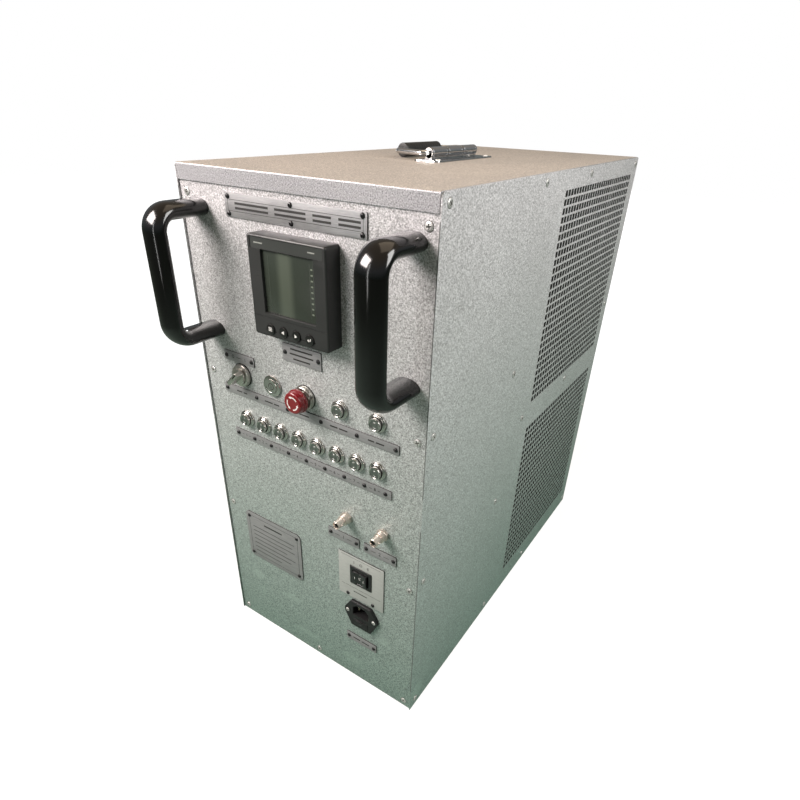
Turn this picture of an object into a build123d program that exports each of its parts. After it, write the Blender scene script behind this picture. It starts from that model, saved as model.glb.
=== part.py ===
from build123d import *
import os

# Generator load bank: a sheet-metal tower with a control front, perforated sides and a lift bail.
# Frame: +Z up, the control front faces -Y, origin at the middle of the case's base, millimetres.

os.makedirs("parts", exist_ok=True)

# Case
case_width = 308.0
case_depth = 570.0
case_height = 620.0
side_sheet = 1.5
panel_sheet = 2.0
lid_sheet = 1.8
tray_sheet = 2.0
seam = 0.3
lip_height = 15.5
flange_height = 22.0
panel_corner = 4.0
bend_radius = 1.6
cut_reach = 5.0
cut_over = 1.0

# Perforated blocks in the side panels
vent_pitch = 9.4
vent_rib = 3.0
vent_slots_per_row = 2
vent_front_inset = 273.0
vent_top_inset = 21.5
vent_bottom_inset = 37.1
vent_back_inset = 27.4
vent_gap = 41.0

# Inner frame and air duct
post_leg = 20.0
post_sheet = 1.5
duct_sheet = 1.5
duct_wall_margin = 7.0
fan_depth = 89.0
fan_wall = 6.1
fan_margin = 2.0
fan_tip_gap = 3.0
fan_hub = 96.0
fan_hub_depth = 46.0
fan_blades = 5
fan_blade_sheet = 3.0
fan_blade_chord = 62.0
fan_blade_angle = 32.0
strut_width = 12.0
strut_depth = 8.0
motor_depth = 36.0
motor_gap = 2.0
fan_shaft_radius = 5.0
fan_shaft_length = 12.0
fan_blade_root = 8.0
motor_step = 6.0
strut_bite = 2.0
shaft_gap = 0.08
element_diameter = 16.0
element_rows = 5
element_columns = 3
element_pitch_x = 50.0
element_plate = 2.0
element_plate_width = 170.0
element_plate_inset = 2.0
element_centre_x = 45.0

# Control gear behind the front
rail_width = 35.0
rail_depth = 7.5
contactor_width = 44.0
contactor_height = 84.0
contactor_depth = 78.0
contactor_pitch = 47.0
contactors_per_rail = 5
rail_overhang = 6.0
contactor_base_share = 0.6
contactor_nose_share = 0.5
rail_levels = (430.0, 300.0)

# Power terminals on the back
board_width = 240.0
board_height = 64.0
board_sheet = 10.0
board_level = 84.0
stud_pitch = 52.0
stud_count = 4
stud_radius = 5.0
stud_reach = 16.0
stud_inner_length = 12.0
stud_clearance = 3.0
nut_across = 17.0
nut_height = 8.0

# Case screws
screw_head_radius = 4.0
screw_head_height = 1.0
front_screw_inset = 11.0
front_screw_levels = (9.4, 205.5, 400.0, 594.0)
side_edge_inset = 10.5
side_screw_levels = (11.0, 611.0)
side_screw_stations = (10.5, 211.0, 356.0, 559.5)
side_row_levels = (219.0, 405.5)
side_row_stations = (10.5, 195.5, 558.0)
side_band_stations = (248.0, 411.0)
side_band_lift = 6.0

# Front label plates: centre x, centre z, width, height
plate_sheet = 1.2
plate_corner = 1.0
nameplate_box = (-1.3, 587.3, 171.0, 22.0)
meter_label_box = (1.0, 452.0, 52.6, 19.4)
mode_label_box = (-94.5, 426.2, 47.0, 11.5)
control_strip_box = (-0.5, 384.0, 247.5, 11.0)
load_strip_box = (0.0, 326.0, 231.5, 11.5)
jack_label_boxes = ((50.0, 239.0, 45.6, 13.4), (102.0, 239.0, 45.0, 13.4))
rocker_plate_box = (75.0, 183.0, 67.0, 68.0)
inlet_label_box = (75.4, 76.5, 47.0, 13.0)
warning_plate_box = (-70.0, 165.5, 98.0, 77.5)
warning_corner = 7.0
plate_screw_radius = 2.6
plate_screw_height = 1.6
nameplate_screw_inset = (4.6, 3.2)
warning_screw_inset = (6.5, 7.0)
end_screw_inset = 3.8
control_screw_inset = 4.0
control_screw_count = 6
load_screw_pitch = 27.4
load_screw_shift = -1.4
load_screw_count = 9
rocker_screw_shifts = (-20.0, 18.0)
rocker_screw_inset = 4.0

# Power meter
meter_size = 96.0
meter_reach = 19.5
meter_corner = 3.0
meter_x = 5.7
meter_z = 521.3
meter_rear = 90.0
meter_rear_depth = 58.0
meter_cut_gap = 0.5
window_width = 66.0
window_height = 61.0
window_depth = 3.5
window_x = 1.3
window_z = 5.5
window_sheet = 1.6
window_corner = 1.5
window_gap = 0.2
meter_chamfer = 1.2
key_radius = 5.2
key_gap = 0.3
key_pitch = 16.8
key_level = 8.6
key_reach = 1.4
key_depth = 4.0
key_travel = 0.8
key_floor_gap = 0.3
key_rim = 0.6
key_count = 4

# Control row: selector, lamp, emergency stop and two buttons
row_one_z = 406.5
row_one_x = 2.2
row_one_pitch = 47.2
row_two_z = 350.5
row_two_x = 2.6
row_two_pitch = 27.1
row_two_count = 8

# Push buttons
flange_radius = 10.5
button_flange_height = 2.4
collar_radius = 8.9
collar_height = 3.6
barrel_radius = 9.4
barrel_depth = 26.0
barrel_gap = 0.2
ring_nut_radius = 12.0
ring_nut_height = 4.0
cap_radius = 7.2
cap_gap = 0.25
cap_reach = 7.0
cap_depth = 8.0
button_travel = 2.5
cap_floor_gap = 0.5
cap_rim = 1.2

# Lamp, selector and emergency stop share one mounting hole size
device_radius = 10.9
device_depth = 34.0
device_nut_radius = 14.5
gasket_radius = 13.8
gasket_height = 1.0
lamp_flange_radius = 12.4
lamp_flange_height = 3.0
lamp_face_radius = 8.4
lamp_face_lift = 1.0
selector_flange_radius = 13.0
selector_flange_height = 5.5
selector_knob_radius = 9.4
selector_knob_height = 8.0
selector_bar_length = 23.0
selector_bar_width = 6.4
selector_bar_height = 17.5
selector_shaft_radius = 4.0
selector_shaft_depth = 9.0
selector_bore_depth = 10.0
selector_bar_sink = 0.5
selector_bar_corner = 2.0
selector_rest = -45.0
stop_collar_radius = 13.4
stop_collar_height = 6.0
stop_stem_radius = 8.0
stop_rear_radius = 13.3
stop_rear_height = 13.8
stop_front_radius = 11.9
stop_reach = 20.5
stop_gap = 4.6
stop_travel = 4.0
stem_gap = 0.3
stop_stem_depth = 7.0
stop_bore_depth = 12.0
stop_rim = 1.4

# Coaxial jacks
jack_x = (55.0, 106.0)
jack_z = 270.5
jack_hex = 13.5
jack_hex_height = 4.0
jack_collar_radius = 6.4
jack_collar_height = 9.0
jack_radius = 4.85
jack_reach = 20.0
jack_bore = 3.7
jack_bore_depth = 6.5
jack_lug_radius = 1.0
jack_lug_reach = 1.1
jack_lug_height = 15.0
jack_tail_radius = 5.5
jack_tail_depth = 12.0

# Rocker switch
rocker_x = 75.2
rocker_z = 187.5
rocker_bezel_width = 32.0
rocker_bezel_height = 28.0
rocker_bezel_reach = 2.2
rocker_cut_width = 28.0
rocker_cut_height = 22.5
rocker_side_gap = 0.6
rocker_end_gap = 2.0
rocker_wall = 2.0
rocker_body_depth = 22.0
rocker_pivot_depth = 4.0
rocker_crest = 5.4
rocker_pocket = 14.0
rocker_pin_radius = 1.5
rocker_pin_gap = 0.1
rocker_valley = 2.4
rocker_foot = 4.0
rocker_foot_depth = 4.0
rocker_end_rise = 1.0
bezel_corner = 1.5

# Mains inlet with fuse drawer
inlet_x = 76.5
inlet_z = 124.5
inlet_ear_width = 50.0
inlet_body_width = 30.0
inlet_body_height = 42.0
inlet_ear_level = 2.5
inlet_ear_half = 3.0
inlet_reach = 4.2
inlet_tail_width = 27.0
inlet_tail_height = 36.0
inlet_tail_depth = 24.0
inlet_screw_pitch = 40.0
inlet_screw_radius = 2.7
inlet_screw_height = 0.9
socket_width = 24.0
socket_height = 16.5
socket_depth = 17.0
socket_level = 7.6
socket_chamfer = 5.0
pin_width = 4.0
pin_thickness = 2.0
pin_length = 11.0
pin_spacing = 14.0
pin_drop = 2.0
drawer_width = 22.0
drawer_height = 9.0
drawer_level = -12.6
drawer_depth = 19.0
drawer_gap = 0.3
drawer_lip = 1.5
drawer_proud = 0.4

# Front pull handles
handle_x = 128.0
handle_z = 517.8
handle_span = 126.5
handle_width = 30.0
handle_thickness = 17.6
handle_reach = 55.0
handle_bend = 18.0

# Lift bail on the lid
bail_plate_length = 140.0
bail_plate_width = 34.0
bail_plate_offset = 5.0
bail_plate_sheet = 1.6
bail_plate_corner = 6.0
knuckle_radius = 6.0
knuckle_length = 36.0
knuckle_count = 3
knuckle_groove = 1.2
saddle_share = 1.4
wire_radius = 3.0
wire_gap = 0.08
wire_tail = 14.0
wire_bend = 7.0
wire_clear = 2.0
bail_throw = 46.0
bail_narrowing = 12.0
grip_radius = 7.8
grip_length = 80.0
grip_gap = 0.1
grip_rim = 1.0
bail_rest_gap = 0.5
rivet_radius = 3.4
rivet_height = 1.4
rivet_edge_inset = 6.0
rivet_end_inset = 10.0

# Derived places
front = -case_depth / 2
back = case_depth / 2
inner_half = case_width / 2 - side_sheet
panel_half = inner_half - seam
lid_top = case_height
lid_under = case_height - lid_sheet
vent_rows = round((case_height - vent_top_inset - vent_gap - vent_bottom_inset) / (2 * vent_pitch))
vent_columns = round((case_depth - vent_front_inset - vent_back_inset) / vent_pitch)
vent_length = vent_columns * vent_pitch - vent_rib
vent_block_height = vent_rows * vent_pitch - vent_rib
fan_size = min(vent_block_height, vent_length) - fan_margin
fan_bore = fan_size - 2 * fan_wall
vent_upper_top = case_height - vent_top_inset
vent_lower_top = vent_upper_top - vent_block_height - vent_gap
vent_y = front + vent_front_inset + vent_length / 2
vent_tops = (vent_upper_top, vent_lower_top)
vent_levels = tuple(top - vent_block_height / 2 for top in vent_tops)
duct_y = front + vent_front_inset - duct_wall_margin
shelf_z = (vent_upper_top - vent_block_height + vent_lower_top) / 2
fan_left = -(inner_half - seam)
bail_axis_z = lid_top + grip_radius + bail_rest_gap
barrel_half = (knuckle_count * knuckle_length + (knuckle_count - 1) * knuckle_groove) / 2
stop_x = row_one_x
selector_x = row_one_x - 2 * row_one_pitch
lamp_x = row_one_x - row_one_pitch
button_places = [("start_button", row_one_x + row_one_pitch, row_one_z)]
button_places.append(("confirm_button", row_one_x + 2 * row_one_pitch, row_one_z))
for index in range(row_two_count):
    step_x = row_two_x + (index - (row_two_count - 1) / 2) * row_two_pitch
    button_places.append((f"load_button_{index + 1}", step_x, row_two_z))


def block(x_low, x_high, y_low, y_high, z_low, z_high):
    """A box between two corners."""
    size = (x_high - x_low, y_high - y_low, z_high - z_low)
    middle = ((x_low + x_high) / 2, (y_low + y_high) / 2, (z_low + z_high) / 2)
    return Pos(*middle) * Box(*size)


def on_front(x, z):
    """A place on the front panel's face whose own +Z points out of the panel."""
    return Location(Plane(origin=(x, front, z), x_dir=(1, 0, 0), z_dir=(0, -1, 0)))


def rod(radius, low, high):
    """A cylinder on the local axis between two heights."""
    return Pos(0, 0, (low + high) / 2) * Cylinder(radius, high - low)


def slab(width, height, low, high, corner=0.0):
    """A plate across the local axis between two heights."""
    outline = RectangleRounded(width, height, corner) if corner > 0 else Rectangle(width, height)
    return extrude(Pos(0, 0, low) * outline, amount=high - low)


def save(name, *solids):
    """Write one node; a node of several like pieces stays separate solids."""
    shape = solids[0] if len(solids) == 1 else Compound(list(solids))
    export_step(shape, f"parts/{name}.step")


def base_tray():
    half = panel_half - seam
    low_y = front + panel_sheet + seam
    high_y = back - panel_sheet - seam
    shell = block(-half, half, low_y, high_y, 0, flange_height)
    inside = block(-half + tray_sheet, half - tray_sheet, low_y + tray_sheet, high_y - tray_sheet,
                   tray_sheet, flange_height + cut_over)
    return shell - inside


def lid():
    low_y = front - lid_sheet
    high_y = back
    half = panel_half
    top = block(-half, half, low_y, high_y, lid_under, lid_top)
    lip = block(-half, half, low_y, front, lid_top - lip_height, lid_under)
    flange_low = lid_top - flange_height
    flanges = []
    for side in (-1, 1):
        x_ends = sorted((side * half, side * (half - lid_sheet)))
        flanges.append(block(x_ends[0], x_ends[1], front + panel_sheet + seam,
                             back - panel_sheet - seam, flange_low, lid_under))
    body = top + lip + flanges[0] + flanges[1]
    outer_edges = body.edges().filter_by(Axis.X).group_by(Axis.Z)[-1].sort_by(Axis.Y)
    return fillet(outer_edges[0], bend_radius)


def front_panel():
    body = block(-panel_half, panel_half, front, front + panel_sheet, 0, lid_under - seam)
    cutters = [on_front(meter_x, meter_z) * slab(meter_rear + 2 * meter_cut_gap,
                                                 meter_rear + 2 * meter_cut_gap, -cut_reach, cut_over)]
    for name, x, z in button_places:
        cutters.append(on_front(x, z) * rod(barrel_radius + barrel_gap, -cut_reach, cut_over))
    for x in (selector_x, lamp_x, stop_x):
        cutters.append(on_front(x, row_one_z) * rod(device_radius + barrel_gap, -cut_reach, cut_over))
    for x in jack_x:
        cutters.append(on_front(x, jack_z) * rod(jack_tail_radius + barrel_gap, -cut_reach, cut_over))
    cutters.append(on_front(rocker_x, rocker_z) * slab(rocker_cut_width + 2 * barrel_gap,
                                                       rocker_cut_height + 2 * barrel_gap,
                                                       -cut_reach, cut_over))
    cutters.append(on_front(inlet_x, inlet_z) * slab(inlet_tail_width + 2 * barrel_gap,
                                                     inlet_tail_height + 2 * barrel_gap,
                                                     -cut_reach, cut_over))
    for cutter in cutters:
        body = body - cutter
    return body


def rear_panel():
    body = block(-panel_half, panel_half, back - panel_sheet, back, 0, lid_under - seam)
    for index in range(stud_count):
        x = (index - (stud_count - 1) / 2) * stud_pitch
        hole = Pos(x, back - panel_sheet / 2, board_level) * Rot(90, 0, 0)
        body = body - hole * Cylinder(stud_radius + stud_clearance, 3 * panel_sheet)
    return body


def vent_slots():
    """Cutters for both perforated blocks: rows of slots at the real row pitch."""
    slot_pitch = (vent_length + vent_rib) / vent_slots_per_row
    slot_length = slot_pitch - vent_rib
    slot_height = vent_pitch - vent_rib
    places = []
    for top in vent_tops:
        for row in range(vent_rows):
            z = top - slot_height / 2 - row * vent_pitch
            for column in range(vent_slots_per_row):
                y = vent_y + (column - (vent_slots_per_row - 1) / 2) * slot_pitch
                places.append((y, z))
    return slot_length, slot_height, places


def side_panel(side):
    """One screwed-on side sheet, drawn flat in its own plane and thickened."""
    slot_length, slot_height, places = vent_slots()
    low_y = front - lid_sheet
    panel_top = lid_top - seam
    face = Plane(origin=(side * inner_half, 0, 0), x_dir=(0, side, 0), z_dir=(side, 0, 0))
    outline = Pos(side * (low_y + back) / 2, panel_top / 2) * Rectangle(back - low_y, panel_top)
    upper = outline.vertices().group_by(Axis.Y)[-1]
    outline = fillet(upper, panel_corner)
    holes = [Wire.make_polygon([(side * (y + dy), z + dz) for dy, dz in
                                ((-slot_length / 2, -slot_height / 2), (slot_length / 2, -slot_height / 2),
                                 (slot_length / 2, slot_height / 2), (-slot_length / 2, slot_height / 2))])
             for y, z in places]
    sheet = Face(outline.face().outer_wire(), holes)
    return extrude(face * sheet, amount=side_sheet)


def frame_posts():
    """Four folded corner angles that the sheets screw to."""
    posts = []
    for x_side in (-1, 1):
        for y_side in (-1, 1):
            corner_x = x_side * (panel_half - seam - tray_sheet - seam)
            corner_y = y_side * (back - panel_sheet - 2 * seam - tray_sheet)
            xs = sorted((corner_x, corner_x - x_side * post_leg))
            ys = sorted((corner_y, corner_y - y_side * post_leg))
            inner_xs = sorted((corner_x - x_side * post_sheet, corner_x - x_side * (post_leg + cut_over)))
            inner_ys = sorted((corner_y - y_side * post_sheet, corner_y - y_side * (post_leg + cut_over)))
            low = tray_sheet
            high = lid_under - seam
            posts.append(block(*xs, *ys, low, high) - block(*inner_xs, *inner_ys, low - cut_over,
                                                                high + cut_over))
    return posts


def duct_wall():
    half = panel_half - seam - tray_sheet - seam
    return block(-half, half, duct_y - duct_sheet, duct_y, tray_sheet, lid_under - seam)


def duct_shelf():
    half = panel_half - seam - tray_sheet - seam
    rear_y = back - panel_sheet - 2 * seam - tray_sheet - post_leg
    return block(-half, half, duct_y, rear_y, shelf_z - duct_sheet / 2, shelf_z + duct_sheet / 2)


def fan_frame(level):
    """A square axial fan housing with a motor held by four struts on its outlet side."""
    right = fan_left + fan_depth
    body = Pos((fan_left + right) / 2, vent_y, level) * Box(fan_depth, fan_size, fan_size)
    turned = Pos((fan_left + right) / 2, vent_y, level) * Rot(0, 90, 0)
    body = body - turned * Cylinder(fan_bore / 2, fan_depth + 2 * cut_over)
    motor_place = Pos(right - motor_depth / 2, vent_y, level) * Rot(0, 90, 0)
    motor = motor_place * Cylinder(fan_hub / 2 - motor_step, motor_depth)
    strut_x = right - strut_depth / 2
    cross = Pos(strut_x, vent_y, level) * Box(strut_depth, fan_bore + 2 * strut_bite, strut_width)
    cross = cross + Pos(strut_x, vent_y, level) * Box(strut_depth, strut_width, fan_bore + 2 * strut_bite)
    bore_x = right - motor_depth
    bore = Pos(bore_x, vent_y, level) * Rot(0, 90, 0) * Cylinder(fan_shaft_radius + shaft_gap,
                                                                2 * fan_shaft_length)
    return body + motor + cross - bore


def fan_rotor(level):
    """A hub with pitched blades that turns in front of the motor."""
    hub_x = fan_left + fan_depth - motor_depth - motor_gap - fan_hub_depth / 2
    tip = fan_bore / 2 - fan_tip_gap
    hub = Rot(0, 90, 0) * Cylinder(fan_hub / 2, fan_hub_depth)
    reach = tip - fan_hub / 2 + fan_blade_root
    for index in range(fan_blades):
        blade = Rot(0, 0, fan_blade_angle) * Box(fan_blade_sheet, fan_blade_chord, reach)
        blade = Pos(0, 0, fan_hub / 2 - fan_blade_root + reach / 2) * blade
        hub = hub + Rot(index * 360 / fan_blades, 0, 0) * blade
    trimmed = hub & (Rot(0, 90, 0) * Cylinder(tip, fan_depth))
    shaft = Rot(0, 90, 0) * rod(fan_shaft_radius, 0, fan_hub_depth / 2 + fan_shaft_length)
    return Pos(hub_x, vent_y, level) * (trimmed + shaft)


def element_plates():
    """Two carrier plates for each block's resistor elements, standing on the tray or the shelf."""
    plates = []
    storeys = ((shelf_z + duct_sheet / 2, lid_under - seam), (tray_sheet, shelf_z - duct_sheet / 2))
    for low, high in storeys:
        for end in (-1, 1):
            outer = vent_y + end * (vent_length / 2 - element_plate_inset)
            ys = sorted((outer, outer - end * element_plate))
            plates.append(block(element_centre_x - element_plate_width / 2,
                                element_centre_x + element_plate_width / 2, *ys, low, high))
    return plates


def element_tubes():
    """The sheathed resistor elements that take up the load."""
    length = vent_length - 2 * (element_plate_inset + element_plate)
    pitch_z = vent_block_height / element_rows
    tubes = []
    for level in vent_levels:
        for row in range(element_rows):
            for column in range(element_columns):
                x = element_centre_x + (column - (element_columns - 1) / 2) * element_pitch_x
                z = level + (row - (element_rows - 1) / 2) * pitch_z
                tube = Rot(90, 0, 0) * Cylinder(element_diameter / 2, length)
                tubes.append(Pos(x, vent_y, z) * tube)
    return tubes


def gear_rails():
    length = contactors_per_rail * contactor_pitch + 2 * rail_overhang
    rear_y = duct_y - duct_sheet
    return [block(-length / 2, length / 2, rear_y - rail_depth, rear_y, level - rail_width / 2,
                  level + rail_width / 2) for level in rail_levels]


def contactors():
    rear_y = duct_y - duct_sheet - rail_depth
    bodies = []
    for level in rail_levels:
        for index in range(contactors_per_rail):
            x = (index - (contactors_per_rail - 1) / 2) * contactor_pitch
            base_y = rear_y - contactor_depth * contactor_base_share
            nose_half = contactor_height * contactor_nose_share / 2
            base = block(x - contactor_width / 2, x + contactor_width / 2, base_y, rear_y,
                         level - contactor_height / 2, level + contactor_height / 2)
            nose = block(x - contactor_width / 2, x + contactor_width / 2, rear_y - contactor_depth, base_y,
                         level - nose_half, level + nose_half)
            bodies.append(base + nose)
    return bodies


def terminal_board():
    board = Pos(0, back + board_sheet / 2, board_level) * Box(board_width, board_sheet, board_height)
    for index in range(stud_count):
        x = (index - (stud_count - 1) / 2) * stud_pitch
        hole = Pos(x, back + board_sheet / 2, board_level) * Rot(90, 0, 0)
        board = board - hole * Cylinder(stud_radius + barrel_gap, board_sheet + 2 * cut_over)
    upright = board.edges().filter_by(Axis.Y).filter_by(GeomType.LINE)
    return fillet(upright, panel_corner)


def terminal_studs():
    studs = []
    low = back - panel_sheet - stud_inner_length
    face = back + board_sheet
    for index in range(stud_count):
        x = (index - (stud_count - 1) / 2) * stud_pitch
        turned = Pos(x, 0, board_level) * Rot(-90, 0, 0)
        stud = rod(stud_radius, low, face + stud_reach)
        nut = extrude(Pos(0, 0, face) * RegularPolygon(nut_across / 2, 6, major_radius=False),
                      amount=nut_height)
        studs.append(turned * (stud + nut))
    return studs


def screw_head():
    """A low countersunk head, flat side on the sheet."""
    head = Cylinder(screw_head_radius, screw_head_height)
    return chamfer(head.edges().sort_by(Axis.Z)[-1], screw_head_height / 2)


def case_screws():
    head = screw_head()
    heads = []
    lift = screw_head_height / 2
    for level in front_screw_levels:
        for side in (-1, 1):
            heads.append(on_front(side * (case_width / 2 - front_screw_inset), level) * Pos(0, 0, lift) * head)
    heads.append(on_front(0, front_screw_levels[0]) * Pos(0, 0, lift) * head)
    for side in (-1, 1):
        places = [(y, z) for z in side_screw_levels for y in side_screw_stations]
        places += [(y, z) for z in side_row_levels for y in side_row_stations]
        places += [(y, shelf_z + side_band_lift) for y in side_band_stations]
        for y, z in places:
            spot = Plane(origin=(side * case_width / 2, front + y, z), x_dir=(0, side, 0), z_dir=(side, 0, 0))
            heads.append(Location(spot) * Pos(0, 0, lift) * head)
    for level in front_screw_levels:
        for side in (-1, 1):
            spot = Plane(origin=(side * (case_width / 2 - front_screw_inset), back, level),
                         x_dir=(-1, 0, 0), z_dir=(0, 1, 0))
            heads.append(Location(spot) * Pos(0, 0, lift) * head)
    return heads


def label_plate(box, corner=plate_corner):
    x, z, width, height = box
    return on_front(x, z) * slab(width, height, 0, plate_sheet, corner)


def rocker_plate():
    opening = on_front(rocker_x, rocker_z) * slab(rocker_bezel_width + 2 * barrel_gap,
                                                  rocker_bezel_height + 2 * barrel_gap, -cut_over,
                                                  cut_reach)
    return label_plate(rocker_plate_box) - opening


def plate_screws():
    """Black dome screws of all the label plates."""
    dome = Pos(0, 0, plate_sheet + plate_screw_height / 2) * Cylinder(plate_screw_radius, plate_screw_height)
    dome = chamfer(dome.edges().sort_by(Axis.Z)[-1], plate_screw_height / 2)
    x, z, width, height = nameplate_box
    across = width / 2 - nameplate_screw_inset[0]
    up = height / 2 - nameplate_screw_inset[1]
    places = [(x + dx * across, z + dz * up) for dx in (-1, 0, 1) for dz in (-1, 1)]
    places += end_pair(meter_label_box) + end_pair(mode_label_box)
    x, z, width, height = control_strip_box
    pitch = (width - 2 * control_screw_inset) / (control_screw_count - 1)
    middle = (control_screw_count - 1) / 2
    places += [(x + (index - middle) * pitch, z) for index in range(control_screw_count)]
    x, z, width, height = load_strip_box
    middle = (load_screw_count - 1) / 2
    places += [(x + load_screw_shift + (index - middle) * load_screw_pitch, z)
               for index in range(load_screw_count)]
    for box in jack_label_boxes:
        places += end_pair(box)
    places += end_pair(inlet_label_box)
    x, z, width, height = rocker_plate_box
    places += [(x + shift, z - height / 2 + rocker_screw_inset) for shift in rocker_screw_shifts]
    x, z, width, height = warning_plate_box
    across = width / 2 - warning_screw_inset[0]
    up = height / 2 - warning_screw_inset[1]
    places += [(x + dx * across, z + dz * up) for dx in (-1, 1) for dz in (-1, 1)]
    return [on_front(x, z) * dome for x, z in places]


def end_pair(box):
    x, z, width, height = box
    reach = width / 2 - end_screw_inset
    return [(x - reach, z), (x + reach, z)]


def meter_case():
    place = on_front(meter_x, meter_z)
    bezel = slab(meter_size, meter_size, 0, meter_reach, meter_corner)
    bezel = chamfer(bezel.edges().group_by(Axis.Z)[-1], meter_chamfer)
    tail = slab(meter_rear, meter_rear, -panel_sheet - meter_rear_depth, 0)
    body = bezel + tail
    body = body - Pos(window_x, window_z, 0) * slab(window_width, window_height,
                                                    meter_reach - window_depth, meter_reach + cut_over,
                                                    window_corner)
    for index in range(key_count):
        x = (index - (key_count - 1) / 2) * key_pitch
        bore = rod(key_radius + key_gap, meter_reach - key_depth, meter_reach + cut_over)
        body = body - Pos(x, -meter_size / 2 + key_level, 0) * bore
    return place * body


def meter_window():
    low = meter_reach - window_depth
    sheet = slab(window_width - 2 * window_gap, window_height - 2 * window_gap, low, low + window_sheet,
                 window_corner - window_gap)
    return on_front(meter_x + window_x, meter_z + window_z) * sheet


def meter_key(index):
    x = (index - (key_count - 1) / 2) * key_pitch
    low = meter_reach - key_depth + key_travel + key_floor_gap
    cap = rod(key_radius, low, meter_reach + key_reach)
    cap = fillet(cap.edges().sort_by(Axis.Z)[-1], key_rim)
    return on_front(meter_x + x, meter_z - meter_size / 2 + key_level) * cap


def button_body(x, z):
    """Fixed metal bush of a push button: flange, collar, threaded barrel and ring nut."""
    body = rod(flange_radius, 0, button_flange_height) + rod(collar_radius, 0, collar_height)
    body = body + rod(barrel_radius, -barrel_depth, 0)
    nut_top = -panel_sheet
    body = body + rod(ring_nut_radius, nut_top - ring_nut_height, nut_top)
    body = body - rod(cap_radius + cap_gap, -cap_depth - button_travel - cap_floor_gap,
                      collar_height + cut_over)
    return on_front(x, z) * body


def button_cap(x, z):
    cap = rod(cap_radius, -cap_depth, cap_reach)
    cap = fillet(cap.edges().sort_by(Axis.Z)[-1], cap_rim)
    return on_front(x, z) * cap


def lamp():
    body = rod(lamp_flange_radius, 0, lamp_flange_height)
    body = body + rod(lamp_face_radius, 0, lamp_flange_height + lamp_face_lift)
    body = body + rod(device_radius, -device_depth, 0)
    body = body + rod(device_nut_radius, -panel_sheet - ring_nut_height, -panel_sheet)
    return on_front(lamp_x, row_one_z) * body


def selector_body():
    body = rod(gasket_radius, 0, gasket_height) + rod(selector_flange_radius, 0, selector_flange_height)
    body = body + rod(device_radius, -device_depth, 0)
    body = body + rod(device_nut_radius, -panel_sheet - ring_nut_height, -panel_sheet)
    body = body - rod(selector_shaft_radius + wire_gap, -selector_bore_depth, selector_flange_height + cut_over)
    return on_front(selector_x, row_one_z) * body


def selector_knob():
    """Round knob with a bar across it, and a shaft in the bush."""
    knob = rod(selector_knob_radius, selector_flange_height + seam, selector_knob_height)
    bar = slab(selector_bar_width, selector_bar_length, selector_knob_height - selector_bar_sink,
               selector_bar_height, selector_bar_corner)
    knob = knob + bar + rod(selector_shaft_radius, -selector_shaft_depth, selector_knob_height)
    return on_front(selector_x, row_one_z) * Rot(0, 0, selector_rest) * knob


def stop_body():
    body = rod(gasket_radius, 0, gasket_height) + rod(stop_collar_radius, 0, stop_collar_height)
    body = body + rod(device_radius, -device_depth, 0)
    body = body + rod(device_nut_radius, -panel_sheet - ring_nut_height, -panel_sheet)
    body = body - rod(stop_stem_radius + stem_gap, -stop_bore_depth, stop_collar_height + cut_over)
    return on_front(stop_x, row_one_z) * body


def stop_head():
    """Two-tier mushroom head on its stem."""
    underside = stop_collar_height + stop_gap
    head = rod(stop_rear_radius, underside, stop_rear_height)
    head = head + rod(stop_front_radius, underside, stop_reach)
    head = head + rod(stop_stem_radius, -stop_stem_depth, underside)
    rims = head.edges().filter_by(GeomType.CIRCLE).sort_by(Axis.Z)
    head = fillet(rims[-1], stop_rim)
    return on_front(stop_x, row_one_z) * head


def jack(x):
    body = extrude(RegularPolygon(jack_hex / 2, 6, major_radius=False), amount=jack_hex_height)
    body = body + rod(jack_collar_radius, 0, jack_collar_height) + rod(jack_radius, 0, jack_reach)
    body = body + rod(jack_tail_radius, -jack_tail_depth, 0)
    lug = Pos(0, 0, jack_lug_height) * Rot(0, 90, 0)
    body = body + lug * Cylinder(jack_lug_radius, 2 * (jack_radius + jack_lug_reach))
    body = body - rod(jack_bore, jack_reach - jack_bore_depth, jack_reach + cut_over)
    return on_front(x, jack_z) * body


def rocker_bezel():
    """Snap-in switch housing with the pocket that the rocker tips in."""
    body = slab(rocker_bezel_width, rocker_bezel_height, 0, rocker_bezel_reach, bezel_corner)
    body = body + slab(rocker_cut_width, rocker_cut_height, -rocker_body_depth, 0)
    body = body - slab(rocker_cut_width - 2 * rocker_wall, rocker_cut_height - 2 * rocker_wall,
                       -rocker_pocket, rocker_bezel_reach + cut_over)
    pin = Pos(0, 0, -rocker_pivot_depth) * Rot(90, 0, 0) * Cylinder(rocker_pin_radius,
                                                                    rocker_cut_height - rocker_wall)
    return on_front(rocker_x, rocker_z) * (body + pin)


def rocker():
    """Two-lobed rocker on a cross pin, with a valley between its lobes."""
    half = rocker_cut_width / 2 - rocker_wall - rocker_end_gap
    depth = rocker_cut_height - 2 * rocker_wall - 2 * rocker_side_gap
    base = -rocker_pivot_depth
    shoulder = base + rocker_end_rise
    low = base - rocker_foot_depth
    outline = Polyline((-half, shoulder), (-half, rocker_crest), (0, rocker_crest - rocker_valley),
                       (half, rocker_crest), (half, shoulder), (rocker_foot, low), (-rocker_foot, low),
                       (-half, shoulder))
    body = extrude(Plane.XZ.offset(-depth / 2) * make_face(outline), amount=depth)
    body = body - Pos(0, 0, base) * Rot(90, 0, 0) * Cylinder(rocker_pin_radius + rocker_pin_gap,
                                                                depth + 2 * cut_over)
    return on_front(rocker_x, rocker_z) * body


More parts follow.
